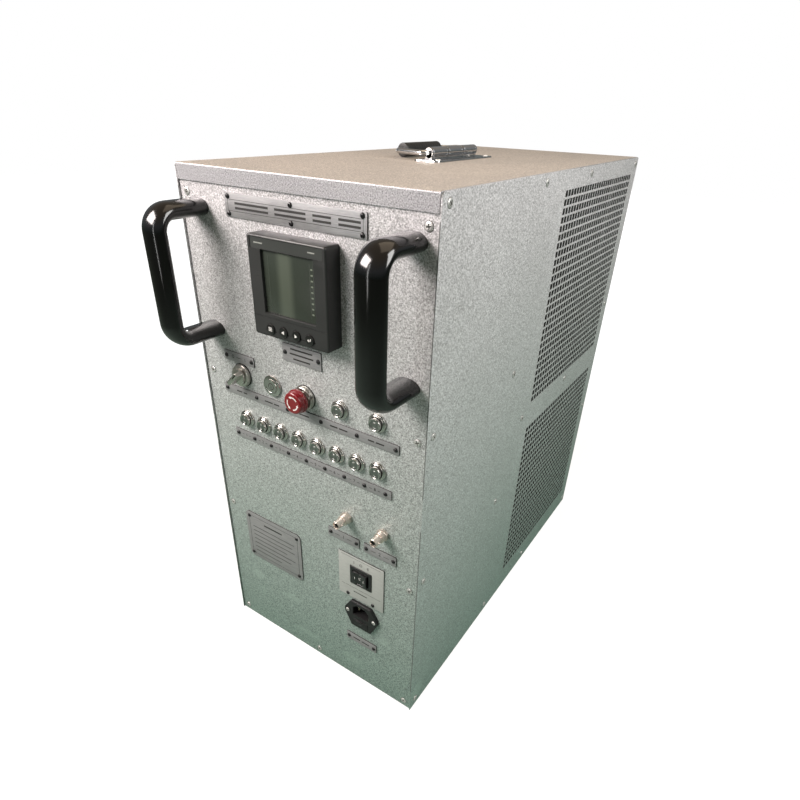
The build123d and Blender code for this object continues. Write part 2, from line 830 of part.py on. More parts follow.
def inlet_outline():
    """Flange outline: a body with a pointed ear on each side at the screws."""
    half = inlet_body_width / 2
    top = inlet_body_height / 2
    tip = inlet_ear_width / 2
    ear = inlet_ear_half
    points = ((-half, top), (half, top), (tip, inlet_ear_level + ear), (tip, inlet_ear_level - ear),
              (half, -top), (-half, -top), (-tip, inlet_ear_level - ear), (-tip, inlet_ear_level + ear),
              (-half, top))
    return make_face(Polyline(*points))


def inlet_body():
    body = extrude(inlet_outline(), amount=inlet_reach)
    body = body + slab(inlet_tail_width, inlet_tail_height, -inlet_tail_depth, 0)
    socket = Rectangle(socket_width, socket_height)
    socket = chamfer(socket.vertices().group_by(Axis.Y)[-1], socket_chamfer)
    body = body - Pos(0, socket_level, inlet_reach - socket_depth) * extrude(socket,
                                                                                  amount=socket_depth + cut_over)
    body = body - Pos(0, drawer_level, 0) * slab(drawer_width + 2 * drawer_gap, drawer_height + 2 * drawer_gap,
                                                 inlet_reach - drawer_depth - drawer_gap,
                                                 inlet_reach + cut_over)
    return on_front(inlet_x, inlet_z) * body


def inlet_pins():
    pins = []
    low = inlet_reach - socket_depth
    for x, z in ((-pin_spacing / 2, -pin_drop), (pin_spacing / 2, -pin_drop), (0, pin_drop)):
        pins.append(on_front(inlet_x + x, inlet_z + socket_level + z) * slab(pin_thickness, pin_width, low,
                                                                          low + pin_length))
    return pins


def inlet_screws():
    head = rod(inlet_screw_radius, inlet_reach, inlet_reach + inlet_screw_height)
    return [on_front(inlet_x + side * inlet_screw_pitch / 2, inlet_z + inlet_ear_level) * head
            for side in (-1, 1)]


def fuse_drawer():
    body = slab(drawer_width, drawer_height, inlet_reach - drawer_depth, inlet_reach + drawer_proud)
    lip = Pos(0, drawer_height / 2 - drawer_lip / 2, 0) * slab(drawer_width / 2, drawer_lip, inlet_reach,
                                                              inlet_reach + drawer_lip)
    return on_front(inlet_x, inlet_z + drawer_level) * (body + lip)


def front_handle(side):
    """Oval bar bent to a U and seated on the panel."""
    half = handle_span / 2
    path = FilletPolyline((0, half, 0), (0, half, handle_reach), (0, -half, handle_reach), (0, -half, 0),
                          radius=handle_bend)
    section = Plane(origin=(0, half, 0), x_dir=(1, 0, 0), z_dir=(0, 0, 1)) * Ellipse(handle_width / 2,
                                                                                  handle_thickness / 2)
    return on_front(side * handle_x, handle_z) * sweep(section, path=path)


def bail_bracket():
    """Screwed plate with a curled barrel in knuckles."""
    plate = Pos(bail_plate_offset, 0, lid_top) * extrude(
        RectangleRounded(bail_plate_width, bail_plate_length, bail_plate_corner), amount=bail_plate_sheet)
    body = plate
    for index in range(knuckle_count):
        y = (index - (knuckle_count - 1) / 2) * (knuckle_length + knuckle_groove)
        turned = Pos(0, y, bail_axis_z) * Rot(90, 0, 0)
        saddle = Pos(0, y, (lid_top + bail_plate_sheet + bail_axis_z) / 2)
        saddle = saddle * Box(saddle_share * knuckle_radius, knuckle_length,
                              bail_axis_z - lid_top - bail_plate_sheet)
        body = body + turned * Cylinder(knuckle_radius, knuckle_length) + saddle
    bore = Pos(0, 0, bail_axis_z) * Rot(90, 0, 0) * Cylinder(wire_radius + wire_gap,
                                                               2 * (barrel_half + cut_over))
    return body - bore


def bail_rivets():
    low = lid_top + bail_plate_sheet
    x = bail_plate_offset + bail_plate_width / 2 - rivet_edge_inset
    return [Pos(x, side * (bail_plate_length / 2 - rivet_end_inset), low + rivet_height / 2) * Cylinder(rivet_radius,
                                                                                       rivet_height)
            for side in (-1, 1)]


def bail_wire():
    """Bent wire: two tails in the barrel's ends, two arms and the run under the grip."""
    shoulder = barrel_half + wire_clear + wire_bend
    elbow = shoulder - bail_narrowing
    z = bail_axis_z
    path = FilletPolyline((0, barrel_half - wire_tail, z), (0, shoulder, z), (-bail_throw, elbow, z),
                          (-bail_throw, -elbow, z), (0, -shoulder, z), (0, -barrel_half + wire_tail, z),
                          radius=wire_bend)
    section = Plane(origin=(0, barrel_half - wire_tail, z), z_dir=(0, 1, 0)) * Circle(wire_radius)
    return sweep(section, path=path)


def bail_grip():
    body = Cylinder(grip_radius, grip_length)
    body = fillet(body.edges(), grip_rim) - Cylinder(wire_radius + grip_gap, grip_length + 2 * cut_over)
    return Pos(-bail_throw, 0, bail_axis_z) * Rot(90, 0, 0) * body


save("base_tray", base_tray())
save("front_panel", front_panel())
save("rear_panel", rear_panel())
save("lid", lid())
save("side_panel_left", side_panel(-1))
save("side_panel_right", side_panel(1))
save("frame_posts", *frame_posts())
save("duct_wall", duct_wall())
save("duct_shelf", duct_shelf())
save("fan_frame_upper", fan_frame(vent_levels[0]))
save("fan_frame_lower", fan_frame(vent_levels[1]))
save("fan_rotor_upper", fan_rotor(vent_levels[0]))
save("fan_rotor_lower", fan_rotor(vent_levels[1]))
save("element_plates", *element_plates())
save("element_tubes", *element_tubes())
save("gear_rails", *gear_rails())
save("contactors", *contactors())
save("terminal_board", terminal_board())
save("terminal_studs", *terminal_studs())
save("case_screws", *case_screws(), *inlet_screws())
save("nameplate", label_plate(nameplate_box))
save("control_strip", label_plate(control_strip_box))
save("load_strip", label_plate(load_strip_box))
save("small_labels", *[label_plate(box) for box in (meter_label_box, mode_label_box, inlet_label_box)
                       + jack_label_boxes])
save("warning_plate", label_plate(warning_plate_box, warning_corner))
save("rocker_plate", rocker_plate())
save("plate_screws", *plate_screws())
save("meter_case", meter_case())
save("meter_window", meter_window())
for index in range(key_count):
    save(f"meter_key_{index + 1}", meter_key(index))
save("button_bodies", *[button_body(x, z) for name, x, z in button_places])
for name, x, z in button_places:
    save(name, button_cap(x, z))
save("fault_lamp", lamp())
save("selector_body", selector_body())
save("selector_knob", selector_knob())
save("stop_body", stop_body())
save("stop_head", stop_head())
save("signal_jacks", *[jack(x) for x in jack_x])
save("rocker_bezel", rocker_bezel())
save("rocker", rocker())
save("inlet_body", inlet_body())
save("inlet_pins", *inlet_pins())
save("fuse_drawer", fuse_drawer())
save("front_handles", front_handle(-1), front_handle(1))
save("bail_bracket", bail_bracket())
save("bail_rivets", *bail_rivets())
save("bail_wire", bail_wire())
save("bail_grip", bail_grip())
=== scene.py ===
import math

import bmesh
import bpy
from mathutils import Matrix, Vector


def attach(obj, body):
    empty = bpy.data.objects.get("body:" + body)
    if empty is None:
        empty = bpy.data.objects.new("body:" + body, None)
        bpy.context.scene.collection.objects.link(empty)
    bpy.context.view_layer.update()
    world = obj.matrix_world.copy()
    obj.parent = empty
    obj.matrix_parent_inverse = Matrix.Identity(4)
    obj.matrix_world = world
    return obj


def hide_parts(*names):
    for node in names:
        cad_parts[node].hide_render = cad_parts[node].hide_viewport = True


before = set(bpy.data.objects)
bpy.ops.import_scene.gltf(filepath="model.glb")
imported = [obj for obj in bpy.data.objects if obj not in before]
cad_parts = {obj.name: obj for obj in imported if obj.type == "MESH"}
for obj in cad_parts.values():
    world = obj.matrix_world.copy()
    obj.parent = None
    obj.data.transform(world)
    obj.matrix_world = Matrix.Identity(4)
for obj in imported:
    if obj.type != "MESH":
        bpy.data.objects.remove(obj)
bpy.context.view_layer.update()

mm = 0.001
scene = bpy.context.scene
caseValues = {"front": -285.0, "back": 285.0, "side": 154.0, "top": 620.0}  # the outer faces of the case

# building helpers: parts are drawn in millimetres and placed in metres

faceAxes = {
    "front": ((1, 0, 0), (0, 0, 1), (0, -1, 0)),
    "back": ((-1, 0, 0), (0, 0, 1), (0, 1, 0)),
    "right": ((0, 1, 0), (0, 0, 1), (1, 0, 0)),
    "left": ((0, -1, 0), (0, 0, 1), (-1, 0, 0)),
    "top": ((1, 0, 0), (0, 1, 0), (0, 0, 1)),
    "along": ((0, 0, -1), (1, 0, 0), (0, -1, 0)),
}


def placeOn(face, x, y, z, turn=0.0):
    axes = Matrix(faceAxes[face]).transposed().to_4x4()
    spot = Matrix.Translation((x * mm, y * mm, z * mm)) @ axes
    return spot @ Matrix.Scale(mm, 4) @ Matrix.Rotation(math.radians(turn), 4, "Z")


def onFront(x, z, turn=0.0):
    return placeOn("front", x, caseValues["front"], z, turn)


def lathe(profile, steps=48):  # the profile lists radius and height
    bm = bmesh.new()
    points = [bm.verts.new((radius, 0, height)) for radius, height in profile]
    lines = [bm.edges.new(pair) for pair in zip(points, points[1:])]
    bmesh.ops.spin(bm, geom=points + lines, cent=(0, 0, 0), axis=(0, 0, 1), angle=2 * math.pi,
                   steps=steps, use_merge=True)
    bmesh.ops.remove_doubles(bm, verts=bm.verts, dist=0.0005)
    bmesh.ops.recalc_face_normals(bm, faces=bm.faces)
    return bm


def block(width, height, low, high, corner=0.0, segments=5):  # corner rounds the upright edges
    bm = bmesh.new()
    size = Matrix.Diagonal((width, height, high - low, 1))
    bmesh.ops.create_cube(bm, size=1, matrix=Matrix.Translation((0, 0, (low + high) / 2)) @ size)
    if corner:
        bevelEdges(bm, uprightEdges(bm, 0.5 * (high - low)), corner, segments)
    return bm


def prism(points, low, high):
    bm = bmesh.new()
    bm.faces.new([bm.verts.new((x, y, low)) for x, y in points])
    grown = bmesh.ops.extrude_face_region(bm, geom=bm.faces[:])
    moved = [item for item in grown["geom"] if isinstance(item, bmesh.types.BMVert)]
    bmesh.ops.translate(bm, verts=moved, vec=(0, 0, high - low))
    bmesh.ops.recalc_face_normals(bm, faces=bm.faces)
    return bm


def rimEdges(bm, level):
    return [edge for edge in bm.edges if all(vert.co.z > level for vert in edge.verts)]


def uprightEdges(bm, rise):
    return [edge for edge in bm.edges if abs(edge.verts[0].co.z - edge.verts[1].co.z) > rise]


def hexagon(acrossFlats, start=0):
    radius = acrossFlats / 2 / math.cos(math.pi / 6)
    angles = [math.radians(60 * step + start) for step in range(6)]
    return [(radius * math.cos(angle), radius * math.sin(angle)) for angle in angles]


def bevelEdges(bm, edges, width, segments=2):
    bmesh.ops.bevel(bm, geom=edges, offset=width, offset_type="OFFSET", segments=segments, profile=0.5,
                    affect="EDGES", clamp_overlap=True, material=-1)


def soften(bm, width, segments=2, sharp=30):
    limit = math.radians(sharp)
    bevelEdges(bm, [edge for edge in bm.edges if edge.is_manifold and edge.calc_face_angle() > limit],
               width, segments)
    return bm


def moved(bm, x=0.0, y=0.0, z=0.0, turn=0.0):
    bm.transform(Matrix.Translation((x, y, z)) @ Matrix.Rotation(math.radians(turn), 4, "Z"))
    return bm


def combine(base, tool, operation):
    objects = []
    for source in (base, tool):
        mesh = bpy.data.meshes.new("work")
        source.to_mesh(mesh)
        source.free()
        objects.append(bpy.data.objects.new("work", mesh))
        scene.collection.objects.link(objects[-1])
    cut = objects[0].modifiers.new("cut", "BOOLEAN")
    cut.operation = operation
    cut.object = objects[1]
    cut.solver = "EXACT"
    bpy.context.view_layer.update()
    result = bmesh.new()
    result.from_object(objects[0], bpy.context.evaluated_depsgraph_get())
    for item in objects:
        bpy.data.objects.remove(item)
    return result


def carve(base, *tools):
    for tool in tools:
        base = combine(base, tool, "DIFFERENCE")
    return base


def bentRod(points, halfWidth, halfThickness, bend, sides=32, steps=10):
    points = [Vector(point) for point in points]
    heading = (points[1] - points[0]).normalized()
    side = heading.cross(points[2] - points[1]).normalized()
    axes = Matrix((side, heading.cross(side), heading)).transposed().to_4x4()
    bm = bmesh.new()
    oval = Matrix.Translation(points[0]) @ axes @ Matrix.Diagonal((halfWidth, halfThickness, 1, 1))
    bmesh.ops.create_circle(bm, segments=sides, radius=1, matrix=oval)
    edges = bm.edges[:]
    place = points[0]
    for before, corner, after in zip(points, points[1:], points[2:]):
        inward, outward = (corner - before).normalized(), (after - corner).normalized()
        angle = inward.angle(outward)
        reach = bend * math.tan(angle / 2)
        edges = runOn(bm, edges, corner - inward * reach - place)
        axis = inward.cross(outward).normalized()
        centre = corner - inward * reach + axis.cross(inward) * bend
        turned = bmesh.ops.spin(bm, geom=edges, cent=centre, axis=axis, angle=angle, steps=steps)
        edges = [item for item in turned["geom_last"] if isinstance(item, bmesh.types.BMEdge)]
        place = corner + outward * reach
    runOn(bm, edges, points[-1] - place)
    bmesh.ops.holes_fill(bm, edges=[edge for edge in bm.edges if edge.is_boundary], sides=0)
    bmesh.ops.recalc_face_normals(bm, faces=bm.faces)
    return bm


def runOn(bm, edges, step):  # a straight stretch after the open end
    grown = bmesh.ops.extrude_edge_only(bm, edges=edges)
    points = [item for item in grown["geom"] if isinstance(item, bmesh.types.BMVert)]
    bmesh.ops.translate(bm, verts=points, vec=step)
    return [item for item in grown["geom"] if isinstance(item, bmesh.types.BMEdge)]


def textMark(text, size, depth=0.03, bold=0.0):  # plain numbers and signs
    curve = bpy.data.curves.new("mark", "FONT")
    curve.body = text
    curve.size = size
    curve.align_x = "CENTER"
    curve.align_y = "CENTER"
    curve.extrude = depth
    curve.offset = bold
    curve.resolution_u = 3
    work = bpy.data.objects.new("mark", curve)
    scene.collection.objects.link(work)
    bpy.context.view_layer.update()
    mesh = bpy.data.meshes.new_from_object(work.evaluated_get(bpy.context.evaluated_depsgraph_get()))
    bm = bmesh.new()
    bm.from_mesh(mesh)
    bpy.data.objects.remove(work)
    bpy.data.meshes.remove(mesh)
    return bm


def arcBand(inner, outer, level, start, sweep, steps=12, depth=0.06):
    bm = bmesh.new()
    corners = [(inner, level), (outer, level), (outer, level - depth), (inner, level - depth)]
    points = [bm.verts.new((radius, 0, height)) for radius, height in corners]
    face = bm.faces.new(points)
    bmesh.ops.spin(bm, geom=[face] + points + face.edges[:], cent=(0, 0, 0), axis=(0, 0, 1),
                   angle=math.radians(sweep), steps=steps)
    bm.transform(Matrix.Rotation(math.radians(start), 4, "Z"))
    bmesh.ops.recalc_face_normals(bm, faces=bm.faces)
    return bm


def put(target, source, place, slot=0, keep=False):  # joins a shape to a piece
    for face in source.faces:
        face.material_index = slot
    mesh = bpy.data.meshes.new("work")
    source.to_mesh(mesh)
    mesh.transform(place)
    target.from_mesh(mesh)
    bpy.data.meshes.remove(mesh)
    if not keep:
        source.free()


def addPiece(name, bm, body, materials, nodes=(), smooth=32):
    mesh = bpy.data.meshes.new(name)
    bm.to_mesh(mesh)
    bm.free()
    for material in materials:
        mesh.materials.append(material)
    mesh.shade_smooth()
    mesh.set_sharp_from_angle(angle=math.radians(smooth))
    piece = bpy.data.objects.new(name, mesh)
    scene.collection.objects.link(piece)
    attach(piece, body)
    if nodes:
        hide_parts(*nodes)
    return piece


# shared shader effects

def tone(red, green, blue):  # from 0 to 255 into linear light
    values = [channel / 255 for channel in (red, green, blue)]
    return tuple(value / 12.92 if value <= 0.04045 else ((value + 0.055) / 1.055) ** 2.4
                 for value in values) + (1.0,)


def addNode(tree, kind, links=(), **values):
    node = tree.nodes.new(kind)
    for key, value in values.items():
        setattr(node, key, value)
    for socket, source in links:
        if isinstance(source, bpy.types.NodeSocket):
            tree.links.new(source, node.inputs[socket])
        else:
            node.inputs[socket].default_value = source
    return node


def addMath(tree, operation, first, second):
    return addNode(tree, "ShaderNodeMath", [(0, first), (1, second)], operation=operation)


def addRange(tree, value, start=0.0, end=1.0, low=0.0, high=1.0,
             kind="LINEAR"):  # start..end becomes low..high
    links = [("Value", value), ("From Min", start), ("From Max", end), ("To Min", low), ("To Max", high)]
    return addNode(tree, "ShaderNodeMapRange", links, interpolation_type=kind)


def newGroup(name, inputs, outputs):
    group = bpy.data.node_groups.new(name, "ShaderNodeTree")
    for title, kind, value in inputs:
        socket = group.interface.new_socket(title, in_out="INPUT", socket_type=kind)
        socket.default_value = value
    for title, kind in outputs:
        group.interface.new_socket(title, in_out="OUTPUT", socket_type=kind)
    return group, group.nodes.new("NodeGroupInput"), group.nodes.new("NodeGroupOutput")


def makeGrainGroup():
    group, entry, leave = newGroup("fineGrain",
                                   [("Size", "NodeSocketFloat", 1.0),
                                    ("Stretch", "NodeSocketVector", (1, 1, 1)),
                                    ("Contrast", "NodeSocketFloat", 0.5)],
                                   [("Grain", "NodeSocketFloat"), ("Patches", "NodeSocketFloat"),
                                    ("Height", "NodeSocketFloat")])
    coords = addNode(group, "ShaderNodeTexCoord")
    mapping = addNode(group, "ShaderNodeMapping",
                      [("Vector", coords.outputs["Object"]), ("Scale", entry.outputs["Stretch"])])
    density = addMath(group, "DIVIDE", 1000.0, entry.outputs["Size"])
    fine = addNode(group, "ShaderNodeTexNoise",
                   [("Vector", mapping.outputs[0]), ("Scale", density.outputs[0]), ("Detail", 3.0),
                    ("Roughness", 0.6)])
    wide = addNode(group, "ShaderNodeTexNoise",
                   [("Vector", coords.outputs["Object"]), ("Scale", 9.0), ("Detail", 4.0)])
    half = addMath(group, "MULTIPLY", entry.outputs["Contrast"], 0.5)
    low = addMath(group, "SUBTRACT", 0.5, half.outputs[0])
    high = addMath(group, "ADD", 0.5, half.outputs[0])
    grain = addRange(group, fine.outputs["Fac"], start=0.32, end=0.68, low=low.outputs[0],
                     high=high.outputs[0])
    patches = addRange(group, wide.outputs["Fac"], start=0.35, end=0.65)
    group.links.new(grain.outputs[0], leave.inputs["Grain"])
    group.links.new(patches.outputs[0], leave.inputs["Patches"])
    group.links.new(fine.outputs["Fac"], leave.inputs["Height"])
    return group


def makeWearGroup():
    group, entry, leave = newGroup("handWear",
                                   [("Amount", "NodeSocketFloat", 0.5),
                                    ("Size", "NodeSocketFloat", 20.0)],
                                   [("Mask", "NodeSocketFloat"), ("Scratches", "NodeSocketFloat")])
    coords = addNode(group, "ShaderNodeTexCoord")
    density = addMath(group, "DIVIDE", 1000.0, entry.outputs["Size"])
    cloud = addNode(group, "ShaderNodeTexNoise",
                    [("Vector", coords.outputs["Object"]), ("Scale", density.outputs[0]), ("Detail", 6.0),
                     ("Roughness", 0.65)])
    threshold = addRange(group, entry.outputs["Amount"], low=0.85, high=0.45)
    edge = addMath(group, "ADD", threshold.outputs[0], 0.16)
    mask = addRange(group, cloud.outputs["Fac"], start=threshold.outputs[0], end=edge.outputs[0])
    stretched = addNode(group, "ShaderNodeMapping",
                        [("Vector", coords.outputs["Object"]), ("Rotation", (0.3, 0.5, 0.2)),
                         ("Scale", (1, 14, 3))])
    lines = addNode(group, "ShaderNodeTexNoise",
                    [("Vector", stretched.outputs[0]), ("Scale", 34.0), ("Detail", 4.0)])
    fine = addRange(group, lines.outputs["Fac"], start=0.66, end=0.72)
    group.links.new(mask.outputs[0], leave.inputs["Mask"])
    group.links.new(fine.outputs[0], leave.inputs["Scratches"])
    return group


def makeZoneGroup():
    group, entry, leave = newGroup("softZone",
                                   [("Centre", "NodeSocketVector", (0, 0, 0)),
                                    ("Reach", "NodeSocketVector", (0.01, 0.01, 0.01)),
                                    ("Broken", "NodeSocketFloat", 0.5)], [("Mask", "NodeSocketFloat")])
    coords = addNode(group, "ShaderNodeTexCoord")
    away = addNode(group, "ShaderNodeVectorMath",
                   [(0, coords.outputs["Object"]), (1, entry.outputs["Centre"])], operation="SUBTRACT")
    scaled = addNode(group, "ShaderNodeVectorMath", [(0, away.outputs[0]), (1, entry.outputs["Reach"])],
                     operation="DIVIDE")
    length = addNode(group, "ShaderNodeVectorMath", [(0, scaled.outputs[0])], operation="LENGTH")
    noise = addNode(group, "ShaderNodeTexNoise",
                    [("Vector", coords.outputs["Object"]), ("Scale", 240.0), ("Detail", 8.0),
                     ("Roughness", 0.75)])
    shift = addMath(group, "MULTIPLY", noise.outputs["Fac"], entry.outputs["Broken"])
    total = addMath(group, "ADD", length.outputs["Value"], shift.outputs[0])
    mask = addRange(group, total.outputs[0], start=1.25, end=0.85, kind="SMOOTHSTEP")
    group.links.new(mask.outputs[0], leave.inputs["Mask"])
    return group


grainGroup = makeGrainGroup()
wearGroup = makeWearGroup()
zoneGroup = makeZoneGroup()


def useGroup(tree, group, **values):
    node = addNode(tree, "ShaderNodeGroup", node_tree=group)
    for key, value in values.items():
        node.inputs[key].default_value = value
    return node


def mixColours(tree, factor, first, second, mode="MIX"):
    node = addNode(tree, "ShaderNodeMix", [(0, factor), (6, first), (7, second)], data_type="RGBA",
                   blend_type=mode)
    return node.outputs[2]


def startMaterial(name, **constants):
    material = bpy.data.materials.new(name)
    material.use_nodes = True
    shader = material.node_tree.nodes["Principled BSDF"]
    for key, value in constants.items():
        shader.inputs[key.replace("_", " ")].default_value = value
    return material, material.node_tree, shader


def makeFinish(name, colour, second, roughness, metallic=0.0, grain=1.0, stretch=(1, 1, 1), contrast=0.6,
               roughShift=0.12,
               bump=0.15, depth=0.00005, wear=0.35, wearSize=18.0, wearTone=None, coat=0.0):
    material, tree, shader = startMaterial(name, Metallic=metallic, Coat_Weight=coat, Coat_Roughness=0.06)
    texture = useGroup(tree, grainGroup, Size=grain, Stretch=stretch, Contrast=contrast)
    rubbed = useGroup(tree, wearGroup, Amount=wear, Size=wearSize)
    base = mixColours(tree, texture.outputs["Grain"], tone(*colour), tone(*second))
    worn = tone(*(wearTone or [min(255, value + 14) for value in colour]))
    strength = addMath(tree, "MULTIPLY", rubbed.outputs["Mask"], 0.35)
    base = mixColours(tree, strength.outputs[0], base, worn)
    tree.links.new(base, shader.inputs["Base Color"])
    low, high = max(0.02, roughness - roughShift), min(1.0, roughness + roughShift)
    rough = addRange(tree, texture.outputs["Patches"], low=low, high=high)
    scratched = addMath(tree, "MULTIPLY", rubbed.outputs["Scratches"], 0.1)
    total = addNode(tree, "ShaderNodeMath", [(0, rough.outputs[0]), (1, scratched.outputs[0])],
                    operation="ADD", use_clamp=True)
    tree.links.new(total.outputs[0], shader.inputs["Roughness"])
    relief = addNode(tree, "ShaderNodeBump", [("Height", texture.outputs["Height"]), ("Strength", bump),
                                              ("Distance", depth)])
    tree.links.new(relief.outputs[0], shader.inputs["Normal"])
    return material


# finishes

# the last two values paint shade into the case paint: darker and greener towards the bottom, up to the
# given height
paintValues = {
    "light": (246, 244, 246), "dark": (134, 133, 134), "smudge": (240, 240, 238), "metallic": 0.32,
    "roughness": 0.42, "grainSize": 1.18, "relief": 0.85, "reliefDepth": 0.0003,
    "paintedLowShade": (0.44, 0.61, 0.53, 1.0), "paintedShadeHeight": 0.6,
}


def makeCasePaint(name, paintedSideShade=(1, 1, 1, 1), paintedTopShade=(1, 1, 1, 1)):
    material, tree, shader = startMaterial(name, Metallic=paintValues["metallic"])
    texture = useGroup(tree, grainGroup, Size=paintValues["grainSize"], Contrast=1.0)
    base = mixColours(tree, texture.outputs["Grain"], tone(*paintValues["dark"]),
                      tone(*paintValues["light"]))
    coords = addNode(tree, "ShaderNodeTexCoord")
    flakes = addNode(tree, "ShaderNodeTexVoronoi", [("Vector", coords.outputs["Object"]), ("Scale", 420.0)])
    spark = addRange(tree, flakes.outputs["Distance"], start=0.2, end=0.08, high=0.5)
    base = mixColours(tree, spark.outputs[0], base, tone(236, 236, 232))
    smudges = [
        ((-0.110, -0.286, 0.090), (0.016, 0.02, 0.014), 0.9),
        ((-0.045, -0.286, 0.082), (0.020, 0.02, 0.010), 0.9),
        ((0.109, -0.286, 0.098), (0.012, 0.02, 0.012), 0.9),
        ((-0.103, -0.286, 0.062), (0.003, 0.02, 0.012), 0.5),
        ((0.060, -0.286, 0.030), (0.030, 0.02, 0.014), 1.0),
        ((0.154, -0.270, 0.024), (0.01, 0.015, 0.02), 0.7),
        ((-0.020, -0.286, 0.028), (0.040, 0.02, 0.010), 1.0),
    ]
    for centre, reach, broken in smudges:
        zone = useGroup(tree, zoneGroup, Centre=centre, Reach=reach, Broken=broken)
        factor = addMath(tree, "MULTIPLY", zone.outputs[0], 0.34)
        base = mixColours(tree, factor.outputs[0], base, tone(*paintValues["smudge"]))
    # painted shade: the paint darkens and turns greener towards the bottom, standing in for shade and the
    # green floor's reflection
    parts = addNode(tree, "ShaderNodeSeparateXYZ", [(0, coords.outputs["Object"])])
    climb = addRange(tree, parts.outputs["Z"], end=paintValues["paintedShadeHeight"])
    shade = mixColours(tree, climb.outputs[0], paintValues["paintedLowShade"], (1, 1, 1, 1))
    base = mixColours(tree, 1.0, base, shade, "MULTIPLY")
    # painted shade and painted reflection: faces pointing up take the top colour, the other faces take the
    # side colour
    geometry = addNode(tree, "ShaderNodeNewGeometry")
    facing = addNode(tree, "ShaderNodeSeparateXYZ", [(0, geometry.outputs["True Normal"])])
    upward = addRange(tree, facing.outputs["Z"], start=0.5, end=0.9)
    base = mixColours(tree, 1.0, base, mixColours(tree, upward.outputs[0], paintedSideShade, paintedTopShade), "MULTIPLY")
    tree.links.new(base, shader.inputs["Base Color"])
    rough = addRange(tree, texture.outputs["Patches"], low=paintValues["roughness"] - 0.05,
                     high=paintValues["roughness"] + 0.07)
    tree.links.new(rough.outputs[0], shader.inputs["Roughness"])
    relief = addNode(tree, "ShaderNodeBump", [("Height", texture.outputs["Height"]),
                                              ("Strength", paintValues["relief"]),
                                              ("Distance", paintValues["reliefDepth"])])
    tree.links.new(relief.outputs[0], shader.inputs["Normal"])
    return material


casePaint = makeCasePaint("casePaint")
# the lid's copy of the paint has painted shade on its lip and a darker, warm painted reflection on its top
lidShadedPaint = makeCasePaint("lidShadedPaint", (0.68, 0.69, 0.705, 1), (0.76, 0.685, 0.585, 1))
zincSheet = makeFinish("zincSheet", (168, 172, 174), (196, 199, 200), 0.38, metallic=0.9, grain=14,
                       contrast=0.9)
# painted shade: a darker finish for the walls of the vent holes
holeWallShade = makeFinish("holeWallShade", (96, 98, 96), (120, 122, 120), 0.5, metallic=0.4, grain=0.8)
# painted shade: zinc sheet painted dark for the frame posts, duct wall and duct shelf, standing in for the
# shade inside the case
interiorShadeSheet = makeFinish("interiorShadeSheet", (58, 59, 60), (74, 75, 75), 0.55, metallic=0.5, grain=14, contrast=0.9)
screwZinc = makeFinish("screwZinc", (232, 232, 229), (206, 206, 203), 0.36, metallic=0.75, grain=0.6,
                       wear=0.45, wearSize=3)
# painted shade: the dark finish for the screw recesses and the rings round the screw heads
recessShade = makeFinish("recessShade", (52, 50, 48), (70, 68, 64), 0.55, metallic=0.6, grain=0.5)
screwBlack = makeFinish("screwBlack", (22, 22, 23), (34, 34, 35), 0.38, grain=0.4, wearTone=(90, 88, 84),
                        wearSize=2)
plateMetal = makeFinish("plateMetal", (144, 145, 146), (168, 168, 169), 0.45, metallic=0.5, grain=0.5,
                        stretch=(0.06, 1, 1), contrast=0.9, bump=0.25, depth=0.00002)
plateEdge = makeFinish("plateEdge", (44, 44, 44), (62, 61, 60), 0.5, grain=0.6)
engraving = makeFinish("engraving", (38, 38, 38), (56, 55, 54), 0.6, grain=0.4)
palePlate = makeFinish("palePlate", (184, 186, 183), (200, 202, 198), 0.46, metallic=0.4, grain=0.5,
                       stretch=(0.08, 1, 1), contrast=0.8)
meterPlastic = makeFinish("meterPlastic", (38, 40, 39), (31, 33, 32), 0.5, grain=0.35, bump=0.35,
                          depth=0.00005, wear=0.3)
# painted shade: a darker copy of the meter plastic for its side faces
meterSideShade = makeFinish("meterSideShade", (20, 21, 21), (27, 28, 28), 0.48, grain=0.35, bump=0.3)
keyPlastic = makeFinish("keyPlastic", (16, 16, 16), (24, 24, 24), 0.26, grain=0.5, coat=0.5)
whitePrint = makeFinish("whitePrint", (228, 228, 224), (214, 214, 210), 0.5, grain=0.3)
buttonSteel = makeFinish("buttonSteel", (204, 202, 198), (184, 182, 178), 0.2, metallic=1.0, grain=0.5,
                         roughShift=0.05, wear=0.3, wearSize=3)
capSteel = makeFinish("capSteel", (150, 152, 149), (132, 134, 131), 0.36, metallic=1.0, grain=0.25,
                      roughShift=0.06, bump=0.2, depth=0.00002)
satinNickel = makeFinish("satinNickel", (206, 203, 196), (186, 184, 178), 0.27, metallic=1.0, grain=0.4,
                         wear=0.4, wearSize=4)
# a dark rubber finish for the gaskets, also used for the painted shade ring in each button's gap
rubberAndGapShade = makeFinish("rubberAndGapShade", (24, 24, 24), (34, 34, 33), 0.7, grain=0.5, bump=0.3)
stopRed = makeFinish("stopRed", (124, 8, 20), (108, 6, 16), 0.24, grain=0.8, coat=0.6, wear=0.3,
                     wearTone=(170, 40, 48))
jackNickel = makeFinish("jackNickel", (232, 221, 212), (212, 202, 192), 0.3, metallic=0.85, grain=0.4,
                        roughShift=0.06, wearSize=3)
darkHole = makeFinish("darkHole", (16, 15, 15), (24, 23, 22), 0.7, grain=0.5)
pinBrass = makeFinish("pinBrass", (214, 208, 186), (196, 188, 160), 0.22, metallic=1.0, grain=0.4)
switchPlastic = makeFinish("switchPlastic", (24, 25, 25), (33, 34, 34), 0.36, grain=0.4, bump=0.25)
rockerPlastic = makeFinish("rockerPlastic", (16, 16, 17), (23, 23, 24), 0.24, grain=0.5, coat=0.3)
inletPlastic = makeFinish("inletPlastic", (18, 18, 19), (27, 27, 28), 0.42, grain=0.35, bump=0.35)
